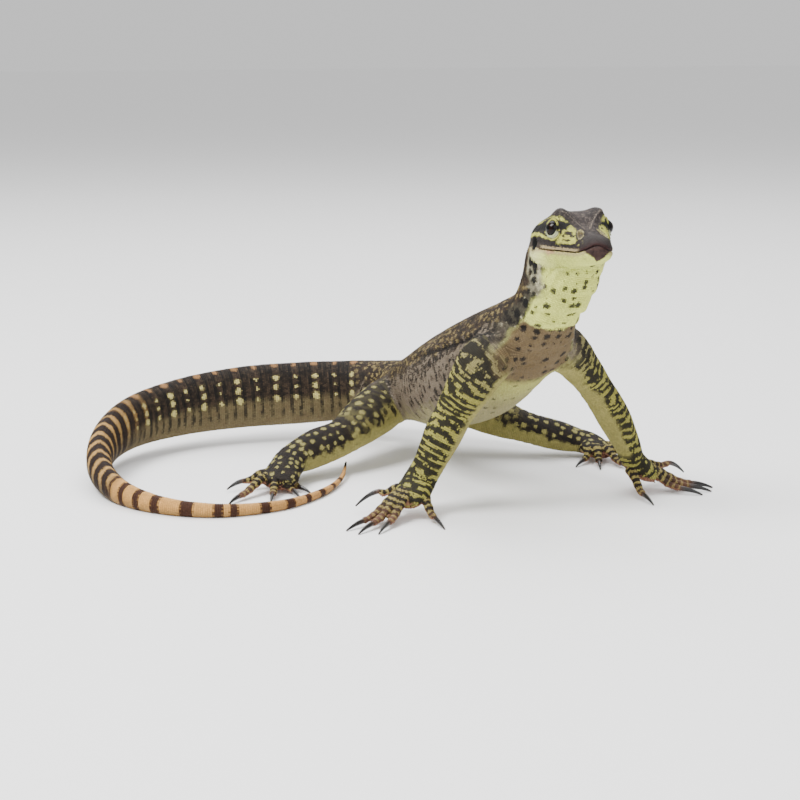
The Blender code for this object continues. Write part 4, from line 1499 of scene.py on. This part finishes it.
def fan_rays(inside, axes, reach, pitch, lie):
    """Rays fanned over a blunt end, which no ring reaches; the middle axis points out of it."""
    count = int(2 * math.pi * reach**2 / pitch**2)
    k = np.arange(count) + 0.5
    tilt = np.arccos(1 - k / count)
    spin = math.pi * (1 + 5**0.5) * k
    level = np.sin(tilt)
    local = np.stack([level * np.cos(spin), np.cos(tilt), level * np.sin(spin)], axis=1)
    one = np.ones((count, 1))
    return one * inside, inside + reach * local @ axes.T, np.full((count, 2), pitch), one * lie


def eye_rays(side):
    """Rings of tiny scales round one eye, closer set than those of the face."""
    middle, ahead, high, gaze = eye_frame(side)
    wide, tall = OPENING
    groups = []
    for number, measure in enumerate(np.arange(1.05, LID_SCALES + 0.02, EYE_PITCH / wide)):
        count = int(2 * math.pi * measure * (wide + tall) / 2 / EYE_PITCH)
        spin = 2 * math.pi * (np.arange(count) + 0.5 * (number % 2)) / count
        forward = OPENING_SHIFT[0] + np.cos(spin)[:, None] * wide * measure
        upward = OPENING_SHIFT[1] + np.sin(spin)[:, None] * tall * measure
        across = forward * ahead + upward * high
        start = middle + across
        groups.append((start, start + 3 * gaze, np.full((count, 2), EYE_PITCH), unit(across)))
    return stack_rays(groups)


def body_pitches(t):
    rows, along, around = zip(*BODY_PITCH)
    return float(np.interp(t, rows, along)), float(np.interp(t, rows, around))


def even_pitches(rows, pitches):
    """A reader of pitches that are the same along and around."""
    return lambda t: (float(np.interp(t, rows, pitches)),) * 2


def tube_rays(index, tube):
    """The rays of one tube: rings along it, and fans over its blunt ends."""
    end = tube.s[-1]
    if index == 0:
        return ring_rays(tube, body_pitches, 0.0, end)
    if index == 1:
        side, along, up = HEAD_AXES.T
        snout_axes = np.stack([side, -along, up], axis=1)
        snout, nape = head_point(SNOUT_REACH, 0, 0.8), head_point(NAPE_REACH, 0, 1)
        return stack_rays((
            ring_rays(tube, even_pitches((4, 40), HEAD_PITCHES), SNOUT_REACH, NAPE_REACH),
            fan_rays(snout, snout_axes, SNOUT_FAN, HEAD_PITCHES[0], along),
            fan_rays(nape, HEAD_AXES, NAPE_FAN, HEAD_PITCHES[1], -up),
        ))
    if (index - 2) % 6:
        return ring_rays(tube, lambda t: (TOE_PITCH, TOE_PITCH), 0.0, end)
    palm = tube_at(tube, end - PALM_END)
    axes = np.stack([palm.side, palm.along, palm.back], axis=1)
    return stack_rays((
        ring_rays(tube, even_pitches((4, 8), (LIMB_PITCH, PALM_PITCH)), 0.0, palm.s),
        fan_rays(palm.middle, axes, PALM_FAN, PALM_PITCH, palm.along - palm.back),
    ))


def keep_face(points, plain):
    """Plain scales stay off the lids and out of every hole; lid scales stay on the lids."""
    lids = nearest_lid(points)
    on_lids = (lids > 1.02) & (lids < LID_SCALES + 0.04)
    clear = (nostril_measure(points) > 1.0) & (mouth_depth(points) < 0.5)
    return clear & np.where(plain, lids > LID_SCALES, on_lids)


def cast_rays(tree, origins, targets):
    """Where rays leave the skin, in which triangle, and which rays found such a place."""
    ways = unit(targets - origins)
    places, faces, kept = [], [], []
    for k, (start, way) in enumerate(zip(targets + ways * RAY_START, ways)):
        spot, out, face, _ = tree.ray_cast(Vector(start), Vector(-way), RAY_START * 3)
        if spot is not None and out.dot(Vector(way)) > GRAZE:
            places.append(spot)
            faces.append(face)
            kept.append(k)
    return np.array(places), np.array(faces), np.array(kept)


def root_scales(tree, triangles, normals):
    """Root every scale on the skin, and keep those that their own tube owns."""
    found = []
    for index, tube in enumerate(TUBES):
        rays = tube_rays(index, tube)
        plain = len(rays[0])
        if index == 1:
            rays = stack_rays((rays, eye_rays(-1), eye_rays(1)))
        places, faces, kept = cast_rays(tree, *rays[:2])
        stands = unit(normals[triangles[faces]].sum(1))
        keep = (near(places, EAR, EAR_REACH) > 1.0) | ~on_head(places)
        if index == 1:
            keep = keep & keep_face(places, kept < plain)
        sizes, lies = (part[kept][keep] for part in rays[2:])
        found.append((np.full(keep.sum(), index), places[keep], stands[keep], sizes, lies))
    index, places, stands, sizes, lies = (np.concatenate(part) for part in zip(*found))
    _, owner, t, s, angle = flesh(places)
    mine = owner == index
    say("rooted", int(mine.sum()), "scales of", len(mine), "tried")
    return [part[mine] for part in (index, places, stands, sizes, lies, t, s, angle)]


points, normals = read_points(skin.data), read_normals(skin.data)
triangles = read_rows(skin.data.polygons, "vertices", 3, np.int32)
tree = BVHTree.FromPolygons(points.tolist(), triangles.tolist(), all_triangles=True)
roots = root_scales(tree, triangles, normals)

# %% [markdown]
# ## Growing the scales with Geometry Nodes
# One little dome is enough for a hundred thousand scales. A node tree puts it at every root,
# stands it on the skin, turns it to lie towards the tail or toes, and stretches it to its size.
# Making each scale in a loop would work too, but the tree is faster, and its sizes are inputs.

# %% The scale and the tree that lays it


def scale_shape():
    """A low dome: eight rim points sunk in the skin, and a short ridge, higher at its end."""
    points = []
    for k in range(8):
        angle = 2 * math.pi * k / 8
        points.append((0.5 * math.sin(angle), 0.5 * math.cos(angle), -0.15))
    points.append((0.0, 0.22, 1.0))
    points.append((0.0, -0.18, 0.75))
    faces = [(0, 8, 1), (1, 8, 2), (2, 8, 9), (2, 9, 3), (3, 9, 4)]
    faces += [(4, 9, 5), (5, 9, 6), (6, 9, 8), (6, 8, 7), (7, 8, 0)]
    return points, faces


def add_sockets(tree, side, *sockets):
    """Named inputs or outputs of a tree, each with its kind and perhaps a starting value."""
    for name, kind, *start in sockets:
        made = tree.interface.new_socket(name, in_out=side, socket_type="NodeSocket" + kind)
        if start:
            made.default_value = start[0]


def set_sockets(tree, node, values):
    """Link each named input to a socket, or set it to a plain value."""
    for name, value in values.items():
        if isinstance(value, bpy.types.NodeSocket):
            tree.links.new(value, node.inputs[name])
        else:
            node.inputs[name].default_value = value


def add_node(tree, kind, values=None, **settings):
    node = tree.nodes.new(kind)
    for key, value in settings.items():
        setattr(node, key, value)
    set_sockets(tree, node, values or {})
    return node


def build_scale_tree():
    """Instances of the shape on points, with their colour and a place on the bake's map."""
    tree = bpy.data.node_groups.new("rows of scales", "GeometryNodeTree")
    add_sockets(
        tree, "INPUT", ("Roots", "Geometry"), ("Scale Shape", "Object"), ("Patch Width", "Float"),
        ("Look", "Material"),
    )
    add_sockets(tree, "OUTPUT", ("Scales", "Geometry"))
    given = add_node(tree, "NodeGroupInput").outputs

    def attribute(name):
        node = add_node(
            tree, "GeometryNodeInputNamedAttribute", {"Name": name}, data_type="FLOAT_VECTOR"
        )
        return node.outputs["Attribute"]

    # Each instance stands on the skin and lies along it.
    shape = add_node(tree, "GeometryNodeObjectInfo", {"Object": given["Scale Shape"]})
    turned = add_node(
        tree, "FunctionNodeAxesToRotation",
        {"Primary Axis": attribute("stand"), "Secondary Axis": attribute("lie")},
        primary_axis="Z", secondary_axis="Y",
    )
    laid = add_node(tree, "GeometryNodeInstanceOnPoints", {
        "Points": given["Roots"], "Instance": shape.outputs["Geometry"],
        "Rotation": turned.outputs["Rotation"], "Scale": attribute("size"),
    })
    real = add_node(tree, "GeometryNodeRealizeInstances", {"Geometry": laid.outputs["Instances"]})
    # Its patch on the bake's map lies round the place of its root.
    spread = add_node(
        tree, "ShaderNodeVectorMath", {0: attribute("tile"), "Scale": given["Patch Width"]},
        operation="SCALE",
    )
    patch = add_node(
        tree, "ShaderNodeVectorMath", {0: attribute("root"), 1: spread.outputs["Vector"]}
    )
    store = add_node(
        tree, "GeometryNodeStoreNamedAttribute",
        {"Geometry": real.outputs["Geometry"], "Name": "OFBake", "Value": patch.outputs["Vector"]},
        data_type="FLOAT2", domain="CORNER",
    )
    last = add_node(tree, "GeometryNodeSetShadeSmooth", {"Geometry": store.outputs["Geometry"]})
    for name in ("stand", "lie", "size", "root", "tile"):
        last = add_node(tree, "GeometryNodeRemoveAttribute", {
            "Geometry": last.outputs["Geometry"], "Name": name,
        })
    look = add_node(tree, "GeometryNodeSetMaterial", {
        "Geometry": last.outputs["Geometry"], "Material": given["Look"],
    })
    add_node(tree, "NodeGroupOutput", {"Scales": look.outputs["Geometry"]})
    return tree


def set_input(modifier, name, value):
    for item in modifier.node_group.interface.items_tree:
        if item.item_type == "SOCKET" and item.in_out == "INPUT" and item.name == name:
            modifier[item.identifier] = value


def add_values(mesh, name, values, kind="FLOAT_VECTOR"):
    """One value of the kind for each of a mesh's points."""
    layer = mesh.attributes.new(name, kind, "POINT")
    key = "color" if "COLOR" in kind else "value" if kind == "FLOAT" else "vector"
    layer.data.foreach_set(key, np.ascontiguousarray(values, np.float32).ravel())


def with_alpha(colour):
    return np.hstack([colour, np.ones((len(colour), 1))])


scale_points, scale_faces = scale_shape()
one_scale = add_object("one scale", plain_mesh("one scale", scale_points, scale_faces))
add_values(one_scale.data, "tile", np.array([(x, y, 0.0) for x, y, _ in scale_points]))
scale_tree = build_scale_tree()
say("one scale:", len(scale_faces), "faces")


# %% [markdown]
# ## How the surfaces look
# Scales, horn and wet eyes differ in gloss, but all have a fine grain that breaks up their colour
# and sheen. That grain is one node group, placed in each material with its own values. The colour
# of the scales is stored on their points by the painters, so no picture has to be wrapped on.

# %% The looks
BROAD_GRAIN = 90.0
GRAIN_DEPTH = 0.0002
SCALY_GRAIN = (2600.0, 0.5)  # its fineness and strength on skin and scales


def build_grain():
    """Fine grain shared by every surface: it varies a colour, a roughness and a height."""
    group = bpy.data.node_groups.new("grain", "ShaderNodeTree")
    add_sockets(
        group, "INPUT", ("Color", "Color", (0.5, 0.5, 0.5, 1)), ("Size", "Float", 1500.0),
        ("Strength", "Float", 0.25), ("Roughness", "Float", 0.5),
    )
    add_sockets(group, "OUTPUT", ("Color", "Color"), ("Roughness", "Float"), ("Height", "Float"))
    given = add_node(group, "NodeGroupInput").outputs
    place = add_node(group, "ShaderNodeTexCoord").outputs["Object"]

    def speckle(size, detail):
        values = {"Vector": place, "Scale": size, "Detail": detail}
        return add_node(group, "ShaderNodeTexNoise", values).outputs["Fac"]

    def work(operation, first, second):
        node = add_node(group, "ShaderNodeMath", {0: first, 1: second}, operation=operation)
        return node.outputs[0]

    fine = speckle(given["Size"], 4.0)
    both = work("ADD", fine, speckle(BROAD_GRAIN, 3.0))
    swing = work("MULTIPLY", work("SUBTRACT", both, 1.0), given["Strength"])
    tint = add_node(
        group, "ShaderNodeVectorMath", {0: given["Color"], "Scale": work("ADD", swing, 1.0)},
        operation="SCALE",
    )
    rough = work("ADD", given["Roughness"], work("MULTIPLY", swing, -0.5))
    add_node(group, "NodeGroupOutput", {
        "Color": tint.outputs["Vector"], "Roughness": rough, "Height": fine,
    })
    return group


GRAIN = build_grain()


def new_look(name, size, strength, roughness, bump, specular=0.5, coat=0.0):
    """A material whose colour, roughness and relief pass through the shared grain."""
    look = bpy.data.materials.new(name)
    look.use_nodes = True
    tree = look.node_tree
    grain = add_node(
        tree, "ShaderNodeGroup", node_tree=GRAIN,
        values={"Size": size, "Strength": strength, "Roughness": roughness},
    )
    relief = add_node(tree, "ShaderNodeBump", {
        "Strength": bump, "Distance": GRAIN_DEPTH, "Height": grain.outputs["Height"],
    })
    set_sockets(tree, tree.nodes["Principled BSDF"], {
        "Specular IOR Level": specular, "Coat Weight": coat, "Coat Roughness": 0.05,
        "Base Color": grain.outputs["Color"], "Roughness": grain.outputs["Roughness"],
        "Normal": relief.outputs["Normal"],
    })
    return look, tree, grain


def scaly_look(name, roughness):
    """Colour from the markings, varied by the grain."""
    look, tree, grain = new_look(name, *SCALY_GRAIN, roughness, 0.35, 0.2)
    marks = add_node(tree, "ShaderNodeAttribute", attribute_name="markings")
    tree.links.new(marks.outputs["Color"], grain.inputs["Color"])
    return look


def shaded_look(name, key, stops, *finish):
    """A material whose colour follows one of the piece's own attributes through a few stops."""
    look, tree, grain = new_look(name, *finish)
    value = add_node(tree, "ShaderNodeAttribute", attribute_name=key)
    scale = add_node(tree, "ShaderNodeValToRGB", {"Fac": value.outputs["Fac"]})
    elements = scale.color_ramp.elements
    while len(elements) < len(stops):
        elements.new(0.5)
    for element, (place, colour) in zip(elements, stops):
        element.position = place
        element.color = (*colour, 1)
    tree.links.new(scale.outputs["Color"], grain.inputs["Color"])
    return look


SKIN_ROUGHNESS = 0.62
COAT_ROUGHNESS = 0.52
skin_look = scaly_look("skin", SKIN_ROUGHNESS)
coat_look = scaly_look("scales", COAT_ROUGHNESS)
say("roughness: skin", SKIN_ROUGHNESS, ", coat", COAT_ROUGHNESS)

# %% [markdown]
# ## The coat
# The scales are laid in ten pieces, so that none is too heavy. Each scale takes one colour, read
# close by its root, and is a little lighter or darker than the next. The skin below shows only in
# the grooves, so it carries the same markings, darkened.

# %% Lay the scales
SCALE_HEIGHT = 0.4
SCALE_SPREAD = (1.05, 1.2)  # how far a scale overfills its pitch around and along
FULL_SIZE = 0.82  # scales smaller than this are flatter as well
GROOVE_SHADE = 0.55
RAGGED = 0.65  # millimetres by which a scale's colour may be read off its place
PATCH = 0.003
TOE_STRIPS = (0.472, 0.088)  # on a foot's map each toe has its own strip above the leg's


def bake_place(index, s, angle):
    """Where a root lies on a flat unwrap of its piece: length across, angle up."""
    u = np.zeros(len(s))
    for tube in np.unique(index):
        mine = index == tube
        low, high = s[mine].min(), s[mine].max()
        u[mine] = (s[mine] - low) / max(high - low, 1e-6)
    v = angle / (2 * math.pi) + 0.5
    toe = (index - 2) % 6
    limb = np.where(toe > 0, TOE_STRIPS[0] + TOE_STRIPS[1] * toe + 0.078 * v, 0.54 * v)
    v = np.where(index < 2, v, limb)
    return 0.01 + 0.98 * np.stack([u, v, np.zeros(len(s))], axis=1)


def lay_coat(name, chosen):
    """One coat piece from the chosen roots."""
    index, places, stands, sizes, lies, t, s, angle = (part[chosen] for part in roots)
    number = np.arange(len(places))
    height = SCALE_HEIGHT * (0.8 + 0.4 * chance(5, number))
    height *= np.minimum(1.0, sizes.mean(1) / FULL_SIZE) ** 1.3
    stretch = np.column_stack([sizes * SCALE_SPREAD, height])
    astray = RAGGED * (np.stack([chance(k, number) for k in (7, 8, 9)], axis=1) - 0.5)
    astray *= np.where(index == 1, 0.35, 1.0)[:, None]  # the face's markings are finer
    colour = paint(index, places + astray, stands, t, s + astray[:, 0], angle + astray[:, 1] / 14)
    colour *= (0.86 + 0.28 * chance(6, number))[:, None]
    mesh = plain_mesh(name, places * MM, [])
    add_values(mesh, "stand", stands)
    add_values(mesh, "lie", lies)
    add_values(mesh, "size", stretch * MM)
    add_values(mesh, "root", bake_place(index, s, angle))
    add_values(mesh, "markings", with_alpha(colour), "FLOAT_COLOR")
    coat = add_object(name, mesh)
    grow = coat.modifiers.new("grow", "NODES")
    grow.node_group = scale_tree
    set_input(grow, "Scale Shape", one_scale)
    set_input(grow, "Patch Width", PATCH)
    set_input(grow, "Look", coat_look)
    apply_modifiers(coat)
    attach(coat, "root")
    say(name, len(places), "scales,", count_triangles(coat), "triangles")


index, t = roots[0], roots[5]
groups = {
    "coat_head": index == 1,
    "coat_neck": (index == 0) & (t < 4.2),
    "coat_chest": (index == 0) & (t >= 4.2) & (t < 7.0),
    "coat_belly": (index == 0) & (t >= 7.0) & (t < 10.6),
    "coat_tail_front": (index == 0) & (t >= 10.6) & (t < 14.4),
    "coat_tail_end": (index == 0) & (t >= 14.4),
}
for k, limb in enumerate(LIMBS):
    groups[f"coat_{limb}"] = (index >= 2 + 6 * k) & (index < 8 + 6 * k)
for name, chosen in groups.items():
    lay_coat(name, chosen)
bpy.data.objects.remove(one_scale, do_unlink=True)

_, owner, *place = flesh(points)
under = paint(owner, points, normals, *place) * GROOVE_SHADE
add_values(skin.data, "markings", with_alpha(under), "FLOAT_COLOR")
skin.data.materials.clear()
skin.data.materials.append(skin_look)
skin.data.shade_smooth()

# %% [markdown]
# ## Eyes and claws
# A real eye is a ball deep in its socket, with a clear bulge over the iris. It is made as a ball
# with that bulge, its colours laid in rings round the gaze: black pupil, thin gold ring, dark
# brown iris, black rim. The claws are horn: curved cones, round above and keeled below, pale at
# the root. Both could be turned from a curve, but a few loops keep every point in its place.

# %% Eyes
EYE_RINGS, EYE_SPOKES = 40, 48
CORNEA = (0.05, 34)  # the clear bulge: its height in radii, and its half angle
IRIS = (  # colours outward from the middle of the pupil, in quarter turns
    (0.0, tone("030302")), (0.22, tone("030302")), (0.24, tone("40291a")), (0.27, tone("26170e")),
    (0.40, tone("22120a")), (0.50, tone("150b07")), (0.56, tone("040303")), (1.0, tone("140f0d")),
)


def make_eye(side):
    """One eyeball, with its poles on the gaze."""
    middle, ahead, high, gaze = eye_frame(side)
    rings, spokes = EYE_RINGS, EYE_SPOKES
    points, faces, away = [middle + gaze * EYE_RADIUS * (1 + CORNEA[0])], [], [0.0]
    for i in range(1, rings):
        tilt = math.pi * (i / rings) ** 1.25
        bulge = 1 + CORNEA[0] * math.exp(-((math.degrees(tilt) / CORNEA[1]) ** 4))
        for k in range(spokes):
            spin = 2 * math.pi * k / spokes
            aside = ahead * math.cos(spin) + high * math.sin(spin)
            way = gaze * math.cos(tilt) + aside * math.sin(tilt)
            points.append(middle + way * EYE_RADIUS * bulge)
            away.append(min(math.degrees(tilt) / 90, 1))
    points.append(middle - gaze * EYE_RADIUS)
    away.append(1.0)
    last = len(points) - 1
    for k in range(spokes):
        after = (k + 1) % spokes
        faces.append((0, 1 + k, 1 + after))
        faces.append((last, last - spokes + after, last - spokes + k))
        for i in range(rings - 2):
            low, high_row = 1 + i * spokes, 1 + (i + 1) * spokes
            faces.append((low + k, high_row + k, high_row + after, low + after))
    if np.dot(np.cross(ahead, high), gaze) < 0:
        faces = [face[::-1] for face in faces]
    name = "eyeball_left" if side > 0 else "eyeball_right"
    ball = add_object(name, plain_mesh(name, np.array(points) * MM, faces))
    add_values(ball.data, "away", away, "FLOAT")
    ball.data.materials.append(eye_look)
    ball.data.shade_smooth()
    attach(ball, "root")
    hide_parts("eye_left" if side > 0 else "eye_right")
    say(name, count_triangles(ball), "triangles")


eye_look = shaded_look("wet eye", "away", IRIS, 3500.0, 0.5, 0.08, 0.02, 0.14, 0.04)
for side in (-1, 1):
    make_eye(side)

# %% Claws
CLAW_RADII = (1.15, 1.0, 0.72, 0.36)
CLAW_GAP = -0.5  # a claw starts this far before the end of its toe
CLAW_ROWS, CLAW_SIDES = 22, 16
CLAW_END = (1.0, 0.75, 0.3)  # how its last rows draw in, 0.12 mm apart
CLAW_TIP = 0.05  # its lowest point above the floor
HORN = (
    (0.0, tone("6b4f3c")), (0.12, tone("46332a")), (0.3, tone("1f1714")), (0.8, tone("120e0d")),
    (1.0, tone("3a2c24")),
)


def claw_radius(share):
    return float(np.interp(share, np.linspace(0, 1, len(CLAW_RADII)), CLAW_RADII))


def claw_section(share):
    """Across and up places of one section: round above, drawn to a keel below."""
    at = 2 * math.pi * np.arange(CLAW_SIDES) / CLAW_SIDES
    radius = claw_radius(share) * (1.0 - 0.06 * math.sin(math.pi * min(share * 6, 1.0)))
    across, rise = np.sin(at) * 0.78, np.cos(at)
    across = across * np.where(rise < 0, 1 - 0.45 * rise**2, 1.0)
    return radius * across, radius * rise


def make_claws(limb, foot):
    """The five claws of one foot, each a curved horn cone with a rounded end."""
    length = CLAW[limb[:3]] - CLAW_GAP
    rows, sides = CLAW_ROWS, CLAW_SIDES
    points, faces, along = [], [], []
    for number in range(5):
        ahead = heading_vector(FANS[limb][1][number])
        start = np.array(toe_line(limb, number)[-1][:3]) + PLACE
        end_height = 0.1 + (0.4 * RAISED[limb] if number == 4 else 0.0)
        base = len(points)
        for row in range(rows + 1):
            share = min(row / (rows - 2), 1.0)
            over = max(row - rows + 2, 0)
            across, rise = claw_section(share)
            fall = share**1.6
            middle = start + ahead * (CLAW_GAP + length * share + 0.12 * over)
            low = end_height + 0.5 * claw_radius(share)
            middle[2] = start[2] * (1 - fall) + low * fall
            lean = unit(np.array((ahead[0], ahead[1], -0.5 * share)))
            side = unit(np.cross(lean, UP))
            ring = across[:, None] * side + rise[:, None] * np.cross(side, lean)
            points += list(middle + CLAW_END[over] * ring)
            along += [share] * sides
        for row in range(rows):
            for k in range(sides):
                a, b = base + row * sides + k, base + row * sides + (k + 1) % sides
                faces.append((a, b, b + sides, a + sides))
        faces.append(tuple(base + k for k in reversed(range(sides))))
        faces.append(tuple(base + rows * sides + k for k in range(sides)))
    points = np.array(points)
    points[:, 2] = np.maximum(points[:, 2], CLAW_TIP)
    name = f"claws_{foot}"
    claws = add_object(name, plain_mesh(name, points * MM, faces))
    add_values(claws.data, "along", along, "FLOAT")
    claws.data.materials.append(horn_look)
    claws.data.shade_smooth()
    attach(claws, "root")
    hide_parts(*[f"{foot}_claw_{k + 1}" for k in range(5)])
    say(name, count_triangles(claws), "triangles")


horn_look = shaded_look("horn", "along", HORN, 900.0, 0.6, 0.3, 0.15)
for limb in LIMBS:
    make_claws(limb, limb.replace("arm", "hand").replace("leg", "foot"))

# %% [markdown]
# ## Its place in the frame, and the studio
# The animal is one rigid body, so everything rides on it, and the skin stands in for the solids of
# flesh. The camera stands low, a little to the right of its nose. A lizard's skin is dull, so a
# soft key lamp from above and two weaker ones are enough to show the rows of scales. More and
# smaller lamps would make it glitter.

# %% What the skin stands for
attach(skin, "root")
FLESH_NODES = ["head", "lower_jaw", "neck", "chest", "belly", "hips"]
FLESH_NODES += [f"tail_{k}" for k in range(1, 8)]
for flank in ("left", "right"):
    for part in ("upper_arm", "forearm", "hand", "thigh", "shank", "foot"):
        FLESH_NODES.append(f"{part}_{flank}")
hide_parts(*FLESH_NODES)
say("the skin replaces", len(FLESH_NODES), "solids")

# %% Camera, floor and light
CAMERA = (-0.3118, -0.6507, 0.1875)
CAMERA_AIM = (78.0, -23.3)  # degrees up from straight down, and round to the animal's right
FLOOR_REACH = 9.0
LAMPS = (  # place, width and power
    ("key", (-0.8, -0.15, 1.2), 0.6, 30),
    ("fill", (-0.3, -1.2, 0.8), 1.2, 9),
    ("top", (0.2, 0.5, 1.3), 1.2, 22),
)
LAMP_AIM = Vector((0, 0, 0.05))

camera = bpy.data.objects.new("camera", bpy.data.cameras.new("camera"))
bpy.context.scene.collection.objects.link(camera)
camera.location = np.array(CAMERA) + PLACE * MM
camera.rotation_euler = (math.radians(CAMERA_AIM[0]), 0.0, math.radians(CAMERA_AIM[1]))
camera.data.sensor_width = 36.0
camera.data.lens = 76.86
bpy.context.scene.camera = camera

corners = [(-1, -1), (1, -1), (1, 1), (-1, 1)]
corners = [(x * FLOOR_REACH, y * FLOOR_REACH, 0) for x, y in corners]
floor = add_object("floor", plain_mesh("floor", corners, [(0, 1, 2, 3)]))
paper, _, grain = new_look("pale floor", 60.0, 0.01, 0.45, 0.02, 0.35)
grain.inputs["Color"].default_value = (0.95, 0.95, 0.95, 1)
floor.data.materials.append(paper)

for name, place, size, power in LAMPS:
    light = bpy.data.lights.new(name, "AREA")
    light.size, light.energy = size, power
    lamp = bpy.data.objects.new(name, light)
    bpy.context.scene.collection.objects.link(lamp)
    lamp.location = place
    lamp.rotation_euler = (LAMP_AIM - Vector(place)).to_track_quat("-Z", "Y").to_euler()
world = bpy.data.worlds.new("studio")
world.use_nodes = True
sky = world.node_tree.nodes["Background"].inputs
sky["Color"].default_value, sky["Strength"].default_value = (1, 1, 1, 1), 0.8
bpy.context.scene.world = world
say("camera, floor and", len(LAMPS), "lamps")
